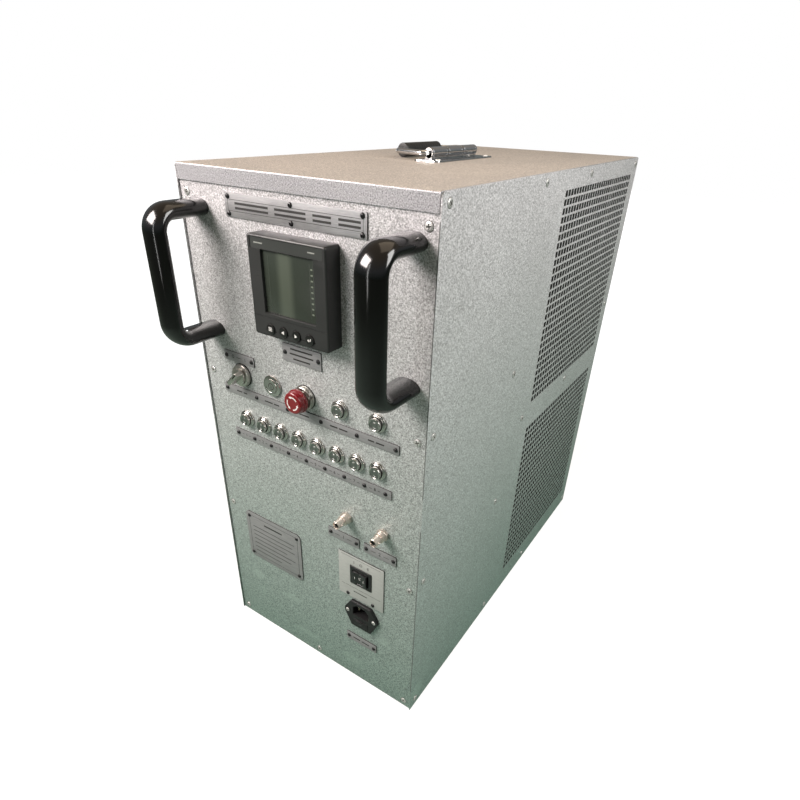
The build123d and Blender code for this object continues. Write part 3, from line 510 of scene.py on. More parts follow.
handleBlack = makeFinish("handleBlack", (5, 5, 6), (8, 8, 9), 0.15, grain=1.2, roughShift=0.05, bump=0.06,
                         coat=0.3, wear=0.2, wearTone=(20, 20, 21), wearSize=10)
chrome = makeFinish("chrome", (206, 206, 208), (184, 186, 188), 0.17, metallic=1.0, grain=1.0,
                    roughShift=0.04, bump=0.05, wearSize=4)
gripPlastic = makeFinish("gripPlastic", (16, 16, 16), (24, 24, 24), 0.4, grain=0.5, bump=0.3)
elementSteel = makeFinish("elementSteel", (62, 58, 54), (84, 78, 72), 0.46, metallic=0.8, grain=3,
                          stretch=(1, 0.3, 1), wearTone=(120, 84, 60))
fanCast = makeFinish("fanCast", (38, 39, 40), (52, 53, 54), 0.5, metallic=0.4, grain=0.8, bump=0.4)
fanPlastic = makeFinish("fanPlastic", (26, 26, 27), (36, 36, 37), 0.42, grain=0.6)
gearPlastic = makeFinish("gearPlastic", (196, 194, 184), (180, 178, 168), 0.5, grain=0.8)
boardBlack = makeFinish("boardBlack", (30, 28, 26), (46, 42, 38), 0.52, grain=1.4, stretch=(0.2, 1, 1))
studBrass = makeFinish("studBrass", (202, 172, 104), (182, 150, 84), 0.26, metallic=1.0, grain=0.5)


def makeScreenGlass():
    material, tree, shader = startMaterial("screenGlass", Coat_Weight=0.35, Coat_Roughness=0.12)
    coords = addNode(tree, "ShaderNodeTexCoord")
    parts = addNode(tree, "ShaderNodeSeparateXYZ", [(0, coords.outputs["Object"])])
    # painted light: a lighter band is painted down the middle of the screen
    band = addMath(tree, "SUBTRACT", parts.outputs["X"], 0.002)
    wide = addNode(tree, "ShaderNodeMath", [(0, band.outputs[0])], operation="ABSOLUTE")
    glow = addRange(tree, wide.outputs[0], start=0.013, end=0.003, kind="SMOOTHSTEP")
    texture = useGroup(tree, grainGroup, Size=0.35, Contrast=0.8)
    base = mixColours(tree, texture.outputs["Grain"], tone(44, 50, 44), tone(54, 60, 52))
    factor = addMath(tree, "MULTIPLY", glow.outputs[0], 0.6)
    base = mixColours(tree, factor.outputs[0], base, tone(88, 96, 84))
    tree.links.new(base, shader.inputs["Base Color"])
    rough = addRange(tree, texture.outputs["Patches"], low=0.16, high=0.3)
    tree.links.new(rough.outputs[0], shader.inputs["Roughness"])
    return material


screenGlass = makeScreenGlass()
print("finishes ready")

# case sheets and what is inside them

# the frame posts, duct wall and duct shelf are zinc sheet painted dark as shade
nodeFinishes = {
    "front_panel": ("case_paint", casePaint), "rear_panel": ("case_paint", casePaint),
    "lid": ("case_paint", lidShadedPaint),
    "base_tray": ("zinc_sheet", zincSheet), "frame_posts": ("zinc_sheet", interiorShadeSheet),
    "duct_wall": ("zinc_sheet", interiorShadeSheet),
    "duct_shelf": ("zinc_sheet", interiorShadeSheet), "gear_rails": ("zinc_sheet", zincSheet),
    "element_plates": ("element_steel", elementSteel),
    "element_tubes": ("element_steel", elementSteel), "fan_frame_upper": ("fan_cast", fanCast),
    "fan_frame_lower": ("fan_cast", fanCast),
    "fan_rotor_upper": ("fan_plastic", fanPlastic), "fan_rotor_lower": ("fan_plastic", fanPlastic),
    "contactors": ("gear_plastic", gearPlastic), "inlet_pins": ("pin_brass", pinBrass),
}
for node, (slotName, material) in nodeFinishes.items():
    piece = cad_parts[node]
    piece.data.materials.clear()
    piece.data.materials.append(material)

sidePanelValues = {
    "pitch": 9.4, "hole": 6.9, "rows": 28, "columns": 29, "firstColumn": -12.25,
    "blockBottoms": (36.85, 338.05), "front": -286.8, "back": 285.0, "top": 619.7, "thickness": 1.0,
    "corner": 4.0,
}


def makeSidePanel(side):  # a grid whose odd cells are the holes
    values = sidePanelValues
    across = [values["front"]]
    for column in range(values["columns"]):
        start = values["firstColumn"] + column * values["pitch"]
        across += [start, start + values["hole"]]
    across.append(values["back"])
    up = [0.0]
    for bottom in values["blockBottoms"]:
        for row in range(values["rows"]):
            up += [bottom + row * values["pitch"], bottom + row * values["pitch"] + values["hole"]]
    up.append(values["top"])
    bm = bmesh.new()
    countX, countY = len(across) - 1, len(up) - 1
    bmesh.ops.create_grid(bm, x_segments=countX, y_segments=countY, size=0.5)
    spots = {}
    for vert in bm.verts:
        spots[vert] = (round((vert.co.x + 0.5) * countX), round((vert.co.y + 0.5) * countY))
    holes = []
    for face in bm.faces:
        column = min(spots[vert][0] for vert in face.verts)
        row = min(spots[vert][1] for vert in face.verts)
        if column % 2 == 1 and row % 2 == 1:
            holes.append(face)
    for vert, (column, row) in spots.items():
        vert.co = (side * across[column], up[row], 0)
    bmesh.ops.delete(bm, geom=holes, context="FACES")
    corners = [vert for vert in bm.verts if vert.co.y > values["top"] - 0.1 and len(vert.link_edges) == 2]
    bmesh.ops.bevel(bm, geom=corners, offset=values["corner"], offset_type="OFFSET", segments=6,
                    profile=0.5, affect="VERTICES", material=-1)
    grown = bmesh.ops.extrude_face_region(bm, geom=bm.faces[:])
    back = [item for item in grown["geom"] if isinstance(item, bmesh.types.BMVert)]
    bmesh.ops.translate(bm, verts=back, vec=(0, 0, -values["thickness"]))
    bmesh.ops.recalc_face_normals(bm, faces=bm.faces)
    result = bmesh.new()
    face = "right" if side > 0 else "left"
    put(result, bm, placeOn(face, side * caseValues["side"], 0, 0))
    # painted shade: the hole walls take the darker finish, standing in for the shade inside the holes
    for face in result.faces:
        if abs(face.normal.x) < 0.5 and max(edge.calc_length() for edge in face.edges) < 0.0075:
            face.material_index = 1
    return result


for side, end in ((1, "right"), (-1, "left")):
    addPiece(f"side_sheet_{end}", makeSidePanel(side), "case", [casePaint, holeWallShade],
             [f"side_panel_{end}"])
print("side panels ready")

caseScrewValues = {
    "radius": 4.0, "height": 1.0, "slotLength": 4.9, "slotWidth": 1.05, "panelX": 143.0,
    "panelLevels": (9.4, 205.5, 400.0, 594.0),
}
sideScrews = [(y, z) for z in (11.0, 611.0) for y in (10.5, 211.0, 356.0, 559.5)]
sideScrews += [(y, z) for z in (219.0, 405.5) for y in (10.5, 195.5, 558.0)]
sideScrews += [(248.0, 323.8), (411.0, 323.8)]


def makeCrossScrew(values):
    radius, height = values["radius"], values["height"]
    head = lathe([(0, height), (radius * 0.55, height * 0.97), (radius * 0.8, height * 0.8),
                  (radius * 0.95, height * 0.45), (radius, 0.05), (radius, 0), (0, 0)], 24)
    depth = height * 0.25
    for turn in (0, 90):
        head = carve(head, moved(block(values["slotLength"], values["slotWidth"], depth, height * 2),
                                 turn=turn))
    # painted shade: a dark disc in the cross slot and a dark ring round the head stand in for the shade in
    # the recess and at the head's rim
    floor = lathe([(0, depth + 0.05), (values["slotLength"] * 0.48, depth + 0.05),
                   (values["slotLength"] * 0.48, 0.1), (radius * 1.07, 0.1), (radius * 1.07, 0), (0, 0)],
                  20)
    return head, floor


def putScrews(bm, screw, places):
    head, floor = screw
    for index, place in enumerate(places):
        turned = place @ Matrix.Rotation(math.radians(20 + 37 * index), 4, "Z")
        put(bm, head, turned, 0, keep=True)
        put(bm, floor, turned, 1, keep=True)
    head.free()
    floor.free()


panelScrews = [(side * caseScrewValues["panelX"], level) for level in caseScrewValues["panelLevels"]
               for side in (-1, 1)]
screwPlaces = [onFront(x, level) for x, level in panelScrews]
screwPlaces.append(onFront(0, caseScrewValues["panelLevels"][0]))
for side, face in ((1, "right"), (-1, "left")):
    screwPlaces += [placeOn(face, side * caseValues["side"], y + caseValues["front"], z) for y,
                    z in sideScrews]
screwPlaces += [placeOn("back", x, caseValues["back"], level) for x, level in panelScrews]
caseScrews = bmesh.new()
putScrews(caseScrews, makeCrossScrew(caseScrewValues), screwPlaces)
inletScrewValues = {"radius": 2.7, "height": 0.9, "slotLength": 3.2, "slotWidth": 0.7}
inletScrewPlaces = [onFront(76.5 + side * 20.0, 127.0) @ Matrix.Translation((0, 0, 4.2))
                    for side in (-1, 1)]
putScrews(caseScrews, makeCrossScrew(inletScrewValues), inletScrewPlaces)
addPiece("cross_screws", caseScrews, "case", [screwZinc, recessShade], ["case_screws"])
print("case screws ready")

# label plates

plateValues = {
    "thickness": 1.2, "corner": 1.0, "edge": 0.15, "nameplate": (-1.3, 587.3, 171.0, 22.0),
    "meterLabel": (1.0, 452.0, 52.6, 19.4), "modeLabel": (-94.5, 426.2, 47.0, 11.5),
    "controlStrip": (-0.5, 384.0, 247.5, 11.0), "loadStrip": (0.0, 326.0, 231.5, 11.5),
    "leftJackLabel": (50.0, 239.0, 45.6, 13.4), "rightJackLabel": (102.0, 239.0, 45.0, 13.4),
    "rockerPlate": (75.0, 183.0, 67.0, 68.0), "inletLabel": (75.4, 76.5, 47.0, 13.0),
    "warningPlate": (-70.0, 165.5, 98.0, 77.5), "warningCorner": 7.0,
}
markValues = {
    "nameFrame": (163.0, 10.2, 0.4), "nameBars": ((-72, 44), (-20, 38), (26, 21), (55, 24)),
    "nameLevels": (2.1, -2.1), "controlPitch": 47.9, "controlStart": -95.8,
    "controlBars": ((9, 6), (12, 8), (14,), (10, 11), (8, 10)), "loadPitch": 27.4, "loadStart": -97.3,
    "meterBars": ((5.2, 30), (0, 32), (-5.2, 23)), "inletBars": ((-7.5, 11), (6.5, 12)),
    "warningFrame": (86.0, 65.5, 0.5), "warningLeft": -37,
    "warningLines": ((16.5, 74), (9.5, 70), (2.5, 74), (-4.5, 60), (-11.5, 74), (-18.5, 66), (-25.5, 48)),
    "rockerSigns": (("I", -10), ("O", 0.2), ("II", 10.4)),
    "rockerRules": ((0, 31.0, 58, 0.4), (0, -16.5, 58, 0.4), (-1, -22.5, 20, 1.3)),
}


def makePlate(name, corner=None):
    x, z, width, height = plateValues[name]
    body = block(width, height, 0, plateValues["thickness"], corner or plateValues["corner"])
    bevelEdges(body, rimEdges(body, plateValues["thickness"] - 0.01), plateValues["edge"], 2)
    return body, onFront(x, z)


def putPlate(bm, body, place):
    start = len(bm.faces)  # the faces already there keep their slots
    put(bm, body, place, 0)
    bm.faces.ensure_lookup_table()
    for face in bm.faces[start:]:
        if abs(face.normal.y) < 0.6:
            face.material_index = 1


def addPlate(bm, name, corner=None):
    body, place = makePlate(name, corner)
    putPlate(bm, body, place)
    return place


def rule(bm, place, x, y, width, height=0.5, slot=2):
    put(bm, moved(block(width, height, 0, 0.05), x, y, plateValues["thickness"]), place, slot)


def frameLine(bm, place, width, height, line=0.35):
    for side in (-1, 1):
        rule(bm, place, 0, side * height / 2, width, line)
        rule(bm, place, side * width / 2, 0, line, height + line)


def glyph(bm, place, text, x, y, size, slot=2, bold=0.08):
    put(bm, moved(textMark(text, size, bold=bold), x, y, plateValues["thickness"]), place, slot)


def makeNameplate():
    bm = bmesh.new()
    place = addPlate(bm, "nameplate")
    frameLine(bm, place, *markValues["nameFrame"])
    for start, width in markValues["nameBars"]:
        for level in markValues["nameLevels"]:
            rule(bm, place, start + width / 2, level, width, 2.1)
    return bm


def makeControlStrip():
    bm = bmesh.new()
    place = addPlate(bm, "controlStrip")
    for index, marks in enumerate(markValues["controlBars"]):
        x = markValues["controlStart"] + index * markValues["controlPitch"]
        offset = -(sum(marks) + 2 * (len(marks) - 1)) / 2
        for width in marks:
            rule(bm, place, x + offset + width / 2, 0, width, 1.6)
            offset += width + 2
    return bm


def makeLoadStrip():
    bm = bmesh.new()
    place = addPlate(bm, "loadStrip")
    for index in range(8):
        x = markValues["loadStart"] + index * markValues["loadPitch"]
        glyph(bm, place, str(index + 1), x, 0, 5.2)
        for side in (-1, 1):
            rule(bm, place, x + side * 5.6, 0, 3.6, 0.5)
    return bm


def makeSmallLabels():
    bm = bmesh.new()
    place = addPlate(bm, "meterLabel")
    for level, width in markValues["meterBars"]:
        rule(bm, place, 0, level, width, 1.7)
    place = addPlate(bm, "modeLabel")
    glyph(bm, place, "O", -9.5, 0, 5.2)
    rule(bm, place, 0, 0, 8, 0.6)
    glyph(bm, place, "I", 9.5, 0, 5.2)
    place = addPlate(bm, "inletLabel")
    for offset, width in markValues["inletBars"]:
        rule(bm, place, offset, 0, width, 1.8)
    for index, name in enumerate(("leftJackLabel", "rightJackLabel")):
        place = addPlate(bm, name)
        glyph(bm, place, str(index + 1), 0, 0, 6.4)
        for side in (-1, 1):
            rule(bm, place, side * 9.0, 0, 7.0, 0.6)
    return bm


def makeWarningPlate():
    bm = bmesh.new()
    place = addPlate(bm, "warningPlate", plateValues["warningCorner"])
    frameLine(bm, place, *markValues["warningFrame"])
    rule(bm, place, 0, 25.5, 32, 2.2)
    for level, width in markValues["warningLines"]:
        rule(bm, place, markValues["warningLeft"] + width / 2, level, width, 0.9)
    return bm


def makeRockerPlate():
    bm = bmesh.new()
    body, place = makePlate("rockerPlate")
    body = carve(body, moved(block(32.4, 28.4, -1, 3), 0.2, 4.5))
    putPlate(bm, body, place)
    for text, x in markValues["rockerSigns"]:
        glyph(bm, place, text, x, 24.5, 5.6)
    for line in markValues["rockerRules"]:
        rule(bm, place, *line)
    return bm


legends = {
    "name_strip": (makeNameplate, plateMetal, "nameplate"),
    "control_legend": (makeControlStrip, plateMetal, "control_strip"),
    "load_legend": (makeLoadStrip, plateMetal, "load_strip"),
    "small_legends": (makeSmallLabels, plateMetal, "small_labels"),
    "ruled_plate": (makeWarningPlate, plateMetal, "warning_plate"),
    "switch_plate": (makeRockerPlate, palePlate, "rocker_plate"),
}
for name, (build, metal, node) in legends.items():
    addPiece(name, build(), "case", [metal, plateEdge, engraving], [node])

plateScrewValues = {
    "radius": 2.6, "height": 1.6, "socket": 1.0, "endInset": 3.8, "nameReach": (80.9, 7.8),
    "warningReach": (42.5, 31.75), "controlPitch": 47.9, "loadPitch": 27.4, "loadShift": -1.4,
    "rockerX": (55.0, 93.0), "rockerLevel": 153.0,
}


def endPair(name):
    x, z, width = plateValues[name][:3]
    reach = width / 2 - plateScrewValues["endInset"]
    return [(x - reach, z), (x + reach, z)]


def cornerPlaces(name, reach, steps):
    x, z = plateValues[name][:2]
    return [(x + dx * reach[0], z + dz * reach[1]) for dx in steps for dz in (-1, 1)]


def makePlateScrews():  # domes with a six-sided socket
    values = plateScrewValues
    radius, height = values["radius"], values["height"]
    head = lathe([(0, height), (radius * 0.4, height * 0.97), (radius * 0.72, height * 0.74),
                  (radius * 0.93, height * 0.35), (radius, 0), (0, 0)], 20)
    head = carve(head, lathe([(0, height * 2), (values["socket"], height * 2),
                              (values["socket"], height * 0.4), (0, height * 0.4)], 6))
    places = cornerPlaces("nameplate", values["nameReach"], (-1, 0, 1))
    for name in ("meterLabel", "modeLabel", "leftJackLabel", "rightJackLabel", "inletLabel"):
        places += endPair(name)
    x, level = plateValues["controlStrip"][:2]
    places += [(x + (index - 2.5) * values["controlPitch"], level) for index in range(6)]
    level = plateValues["loadStrip"][1]
    places += [(values["loadShift"] + (index - 4) * values["loadPitch"], level) for index in range(9)]
    places += [(x, values["rockerLevel"]) for x in values["rockerX"]]
    places += cornerPlaces("warningPlate", values["warningReach"], (-1, 1))
    bm = bmesh.new()
    for index, (x, z) in enumerate(places):
        put(bm, head, onFront(x, z, 23 * index) @ Matrix.Translation((0, 0, plateValues["thickness"])),
            keep=True)
    head.free()
    return bm


addPiece("dome_screws", makePlateScrews(), "case", [screwBlack], ["plate_screws"])
print("plates ready")

# power meter

meterValues = {
    "x": 5.7, "z": 521.3, "size": 96.0, "reach": 19.5, "corner": 3.0, "bevel": 1.8, "rear": 90.0,
    "rearDepth": 58.0, "window": (66.0, 61.0, 3.5), "windowOffset": (1.3, 5.5), "keyRadius": 5.2,
    "keyPitch": 16.8, "keyLevel": 8.6, "keyReach": 1.4,
}


def makeMeterCase():
    values = meterValues
    place = onFront(values["x"], values["z"])
    size, reach = values["size"], values["reach"]
    front = block(size, size, 0, reach, values["corner"])
    bevelEdges(front, rimEdges(front, reach - 0.01), values["bevel"], 3)
    width, height, depth = values["window"]
    x, y = values["windowOffset"]
    cutter = block(width, height, reach - depth, reach + 2, 1.5)
    low = [vert for vert in cutter.verts if vert.co.z < reach]
    bmesh.ops.scale(cutter, verts=low, vec=(0.965, 0.962, 1))
    ledge = moved(block(88.0, 10.5, reach - 0.7, reach + 2, 0.8), 0, 40.8)
    groove = moved(block(92.0, 0.6, reach - 0.5, reach + 2), 0, -28.0)
    keyGroove = moved(block(66.0, 0.8, reach - 0.6, reach + 2), 0, -41.2)
    front = carve(front, moved(cutter, x, y), ledge, groove, keyGroove)
    for index in range(4):
        well = lathe([(0, reach + 2), (values["keyRadius"] + 0.35, reach + 2),
                      (values["keyRadius"] + 0.35, reach - 4), (0, reach - 4)], 36)
        front = carve(front, moved(well, (index - 1.5) * values["keyPitch"],
                                   -size / 2 + values["keyLevel"]))
    bm = bmesh.new()
    put(bm, front, place)
    # painted shade: the bezel's side faces and groove walls, and the rear body, take the darker copy of the
    # plastic
    for face in bm.faces:
        away = face.calc_center_median() - place.translation
        recessed = away.y < (5 - reach) * mm and max(abs(away.x), abs(away.z)) < 0.0455
        if abs(face.normal.y) < 0.35 and not recessed:
            face.material_index = 1
    put(bm, block(values["rear"], values["rear"], -2 - values["rearDepth"], 0), place, 1)
    ledgeFloor = moved(block(87.4, 9.9, reach - 0.72, reach - 0.6, 0.6), 0, 40.8)
    put(bm, ledgeFloor, place, 2)
    for x, width in ((-33.5, 11.0), (31.0, 8.0)):
        put(bm, moved(block(width, 1.1, reach - 0.62, reach - 0.58), x, 40.8), place, 3)
    return bm


meterBand = makeFinish("meterBand", (60, 63, 61), (52, 55, 53), 0.45, grain=0.35)
meterMark = makeFinish("meterMark", (150, 154, 148), (136, 140, 134), 0.5, grain=0.4)
addPiece("meter_bezel", makeMeterCase(), "case",
         [meterPlastic, meterSideShade, meterBand, meterMark], ["meter_case"])


def makeMeterScreen():
    values = meterValues
    width, height, depth = values["window"]
    x, y = values["windowOffset"]
    place = onFront(values["x"] + x, values["z"] + y)
    level = values["reach"] - depth
    bm = bmesh.new()
    put(bm, soften(block(width - 2.6, height - 2.6, level, level + 1.2, 1.0), 0.2), place)
    for index in range(9):
        put(bm, moved(block(2.4, 1.4, 0, 0.04), 27.8, -20.5 + index * 5.1, level + 1.2), place, 1)
    for side in (-1, 1):
        put(bm, moved(block(0.25, 50, 0, 0.03), side * 25.5, 0, level + 1.2), place, 2)
    return bm


screenIcons = makeFinish("screenIcons", (120, 128, 114), (104, 112, 100), 0.4, grain=0.4)
screenLines = makeFinish("screenLines", (66, 73, 64), (58, 65, 57), 0.4, grain=0.4)
addPiece("meter_screen", makeMeterScreen(), "case",
         [screenGlass, screenIcons, screenLines], ["meter_window"])


def makeMeterKey(index):
    values = meterValues
    top = values["reach"] + values["keyReach"]
    radius = values["keyRadius"]
    bm = bmesh.new()
    place = onFront(values["x"] + (index - 1.5) * values["keyPitch"],
                    values["z"] - values["size"] / 2 + values["keyLevel"])
    put(bm, lathe([(0, top - 0.12), (radius * 0.5, top - 0.1), (radius * 0.82, top),
                   (radius * 0.94, top - 0.15), (radius, top - 0.6), (radius, top - 4.2), (0, top - 4.2)],
                  40), place)
    marks = [
        [((-2.2, -0.35), (2.2, -0.35), (2.2, 0.35), (-2.2, 0.35)),
         ((-2.2, -1.75), (2.2, -1.75), (2.2, -1.05), (-2.2, -1.05)),
         ((-2.2, 1.05), (2.2, 1.05), (2.2, 1.75), (-2.2, 1.75))],
        [((-1.9, 0), (1.5, -1.9), (1.5, 1.9))],
        [((1.9, 0), (-1.5, 1.9), (-1.5, -1.9))],
        [((-2.2, -0.2), (-0.4, -1.8), (-0.4, 1.4)), ((-0.5, -0.6), (2.2, -0.6), (2.2, 0.2), (-0.5, 0.2)),
         ((1.4, 0.1), (2.2, 0.1), (2.2, 1.9), (1.4, 1.9))],
    ]
    for points in marks[index]:
        put(bm, prism(points, top - 0.12, top), place, 1)
    return bm


for index in range(4):
    addPiece(f"meter_button_{index + 1}", makeMeterKey(index), f"key_{index + 1}",
             [keyPlastic, whitePrint], [f"meter_key_{index + 1}"])
print("meter ready")

# push buttons, lamp, selector and emergency stop

buttonValues = {
    "bush": [(0, -11), (7.45, -11), (7.45, 3.25), (7.7, 3.6), (8.55, 3.6), (8.9, 3.25), (8.95, 2.55),
             (9.2, 2.38), (9.9, 2.25), (10.35, 1.8), (10.5, 1.2), (10.5, 0.1), (10.4, 0), (9.4, 0),
             (9.4, -2.05), (12, -2.05), (12, -6), (9.4, -6), (9.4, -26), (0, -26)],
    "cap": [(0, 6.2), (2.6, 6.2), (2.8, 6.0), (3.1, 6.0), (3.3, 6.2), (5.0, 6.3), (5.5, 6.45), (5.9, 6.9),
            (6.3, 7.0), (6.8, 6.85), (7.1, 6.4), (7.2, 5.8), (7.2, -8), (0, -8)],
    "gapShadeRing": [(7.25, 3.3), (8.1, 3.62), (8.1, 3.7), (7.25, 3.7), (7.25, 3.3)], "discRadius": 5.6,
}


def paintDisc(bm, place, radius, slot):  # the matt middle of a cap
    centre = place.translation
    for face in bm.faces:
        away = face.calc_center_median() - centre
        if abs(face.normal.y) > 0.3 and math.hypot(away.x, away.z) < radius * mm:
            face.material_index = slot


buttonPlaces = [("start_button", "start", 49.4, 406.5), ("confirm_button", "confirm", 96.6, 406.5)]
buttonPlaces += [(f"load_button_{index + 1}", f"load_{index + 1}", 2.6 + (index - 3.5) * 27.1, 350.5)
                 for index in range(8)]
bushes = bmesh.new()
for node, body, x, z in buttonPlaces:
    put(bushes, lathe(buttonValues["bush"], 56), onFront(x, z))
    # painted shade: a dark ring fills the gap between bush and cap, where shade falls
    put(bushes, lathe(buttonValues["gapShadeRing"], 56), onFront(x, z), 1)
    cap = bmesh.new()
    put(cap, lathe(buttonValues["cap"], 56), onFront(x, z))
    paintDisc(cap, onFront(x, z), buttonValues["discRadius"], 1)
    addPiece(node.replace("button", "cap"), cap, body, [buttonSteel, capSteel], [node])
addPiece("button_bushes", bushes, "case", [buttonSteel, rubberAndGapShade], ["button_bodies"])

lampValues = {
    "profile": [(0, 3.55), (7.4, 3.55), (7.8, 3.9), (8.2, 4.0), (8.4, 3.75), (8.5, 3.05), (10.9, 3.0),
                (11.9, 2.7), (12.4, 2.0), (12.4, 0), (10.9, 0), (10.9, -2.05), (14.5, -2.05), (14.5, -6),
                (10.9, -6), (10.9, -34), (0, -34)],
    "x": -45.0, "z": 406.5,
}
lamp = bmesh.new()
lampPlace = onFront(lampValues["x"], lampValues["z"])
put(lamp, lathe(lampValues["profile"], 56), lampPlace)
put(lamp, arcBand(3.1, 3.9, 3.6, 0, 360, 40, 0.05), lampPlace, 1)
put(lamp, moved(block(0.8, 4.2, 3.55, 3.6), 0, 0), lampPlace, 1)
addPiece("signal_lamp", lamp, "case", [buttonSteel, engraving], ["fault_lamp"])

gasketProfile = [(11, 0), (13.8, 0), (13.8, 0.7), (13.5, 1.0), (11, 1.0),
                 (11, 0)]  # under the selector and the stop
selectorValues = {
    "x": -92.2, "z": 406.5, "rest": -45.0,  # the bar's angle in degrees
    "flange": [(0, 5.2), (9.6, 5.2), (9.8, 5.5), (11.6, 5.5), (12.3, 5.2), (12.6, 4.4), (12.6, 3.4),
               (13.0, 3.1), (13.0, 1.0), (10.9, 1.0),
               (10.9, -2.05), (14.5, -2.05), (14.5, -6), (10.9, -6), (10.9, -34), (0, -34)],
    "knob": [(0, 8.0), (8.7, 8.0), (9.2, 7.8), (9.4, 7.3), (9.4, 5.8), (0, 5.8)],
}


def makeSelectorBush():
    values = selectorValues
    bm = bmesh.new()
    place = onFront(values["x"], values["z"])
    put(bm, lathe(values["flange"], 60), place)
    put(bm, lathe(gasketProfile, 60), place, 1)
    return bm


def makeSelectorKnob():
    values = selectorValues
    bm = bmesh.new()
    place = onFront(values["x"], values["z"], values["rest"])
    put(bm, lathe(values["knob"], 60), place)
    bar = block(6.4, 23.0, 7.6, 17.5, 2.4, 6)
    top = [vert for vert in bar.verts if vert.co.z > 10]
    bmesh.ops.scale(bar, verts=top, vec=(0.84, 0.95, 1))
    bevelEdges(bar, rimEdges(bar, 17), 1.3, 4)
    bar = carve(bar, moved(block(1.5, 8.0, 17.0, 19, 0.6, 3), 0, 6.2))
    put(bm, bar, place)
    put(bm, moved(block(1.3, 7.6, 16.9, 17.12), 0, 6.2), place, 1)
    return bm


addPiece("selector_bush", makeSelectorBush(), "case", [satinNickel, rubberAndGapShade],
         ["selector_body"])
addPiece("selector_bar", makeSelectorKnob(), "selector", [satinNickel, darkHole],
         ["selector_knob"])

stopValues = {
    "x": 2.2, "z": 406.5,
    "collar": [(8.4, -11), (8.4, 5.6), (8.8, 6.0), (12.4, 6.0), (12.9, 5.6), (12.9, 4.5), (12.4, 4.3),
               (12.4, 3.9), (13.2, 3.7), (13.4, 3.3), (13.4, 1.0), (10.9, 1.0), (10.9, -2.05),
               (14.5, -2.05), (14.5, -6), (10.9, -6), (10.9, -34), (8.4, -34), (8.4, -11)],
    "head": [(0, -7), (7.9, -7), (7.9, 10.4), (12.7, 10.6), (13.15, 10.9), (13.3, 11.4), (13.3, 13.0),
             (13.05, 13.6), (12.5, 13.8), (12.1, 14.0), (11.95, 14.5), (11.9, 18.7), (11.7, 19.5),
             (11.2, 20.1), (10.4, 20.45), (9.4, 20.5), (5.0, 20.35), (0, 20.3)],
    "neck": [(7.85, 6.0), (8.3, 6.3), (8.3, 7.2), (8.0, 7.6), (8.3, 8.0), (8.3, 9.0), (7.85, 9.4),
             (7.85, 6.0)],
}


def makeStopCollar():
    values = stopValues
    bm = bmesh.new()
    place = onFront(values["x"], values["z"])
    collar = lathe(values["collar"], 72)
    for turn in (20, 110, 200, 290):
        notch = block(3.4, 3.0, 2.0, 8.0)
        collar = carve(collar, moved(moved(notch, 12.4, 0), turn=turn))
    put(bm, collar, place)
    put(bm, lathe(gasketProfile, 60), place, 1)
    return bm


def makeStopHead():
    values = stopValues
    bm = bmesh.new()
    place = onFront(values["x"], values["z"])
    put(bm, lathe(values["head"], 72), place)
    put(bm, lathe(values["neck"], 48), place, 2)
    for start in (35, 155, 275):
        put(bm, arcBand(6.3, 7.6, 20.49, start, 68, 14, 0.12), place, 1)
        tip = prism([(5.4, 0), (8.5, 0), (6.95, 2.9)], 20.37, 20.49)
        put(bm, moved(tip, turn=start + 68), place, 1)
    return bm


addPiece("stop_collar", makeStopCollar(), "case", [satinNickel, rubberAndGapShade], ["stop_body"])
addPiece("stop_mushroom", makeStopHead(), "emergency_stop",
         [stopRed, whitePrint, satinNickel], ["stop_head"])
print("controls ready")

# coaxial jacks

jackValues = {
    "places": (55.0, 106.0), "z": 270.5, "acrossFlats": 13.5, "hexHeight": 4.0,
    "barrel": [(0, 13.5), (3.7, 13.5), (3.7, 19.6), (3.95, 20.0), (4.6, 20.0), (4.85, 19.7), (4.85, 12.2),
               (5.3, 11.9), (5.3, 11.2), (4.85, 10.9), (4.85, 9.4), (6.2, 9.0), (6.4, 8.7), (6.4, 7.4),
               (6.0, 7.1), (6.0, 6.6), (6.4, 6.3), (6.4, 4.0), (5.5, 4.0), (5.5, -12), (0, -12)],
}


def makeJacks():
    values = jackValues
    bm = bmesh.new()
    for x in values["places"]:
        place = onFront(x, values["z"])
        put(bm, soften(prism(hexagon(values["acrossFlats"], 30), 0, values["hexHeight"]), 0.35), place)
        put(bm, lathe(values["barrel"], 48), place)
        for side in (-1, 1):
            lug = lathe([(0, 1.1), (0.8, 1.1), (1.0, 0.9), (1.0, -1.0), (0, -1.0)], 16)
            spot = Matrix.Translation((side * 4.85, 0, 15))
            lug.transform(spot @ Matrix.Rotation(side * math.pi / 2, 4, "Y"))
            put(bm, lug, place)
        put(bm, lathe([(0, 13.6), (3.68, 13.6), (3.68, 14.0), (2.5, 14.0), (2.5, 18.2), (1.1, 18.2),
                       (1.1, 14.2), (0, 14.2)], 32), place, 1)
        put(bm, lathe([(0, 17.6), (0.55, 17.5), (0.75, 17.2), (0.75, 14.0), (0, 14.0)], 16), place, 2)
    return bm


addPiece("coaxial_jacks", makeJacks(), "case", [jackNickel, darkHole, pinBrass],
         ["signal_jacks"])

# rocker switch and mains inlet

rockerValues = {"x": 75.2, "z": 187.5, "bezel": (32.0, 28.0, 2.2), "body": (28.0, 22.5, 22.0),
                "half": 10.0, "depth": 17.3, "crest": 5.4}


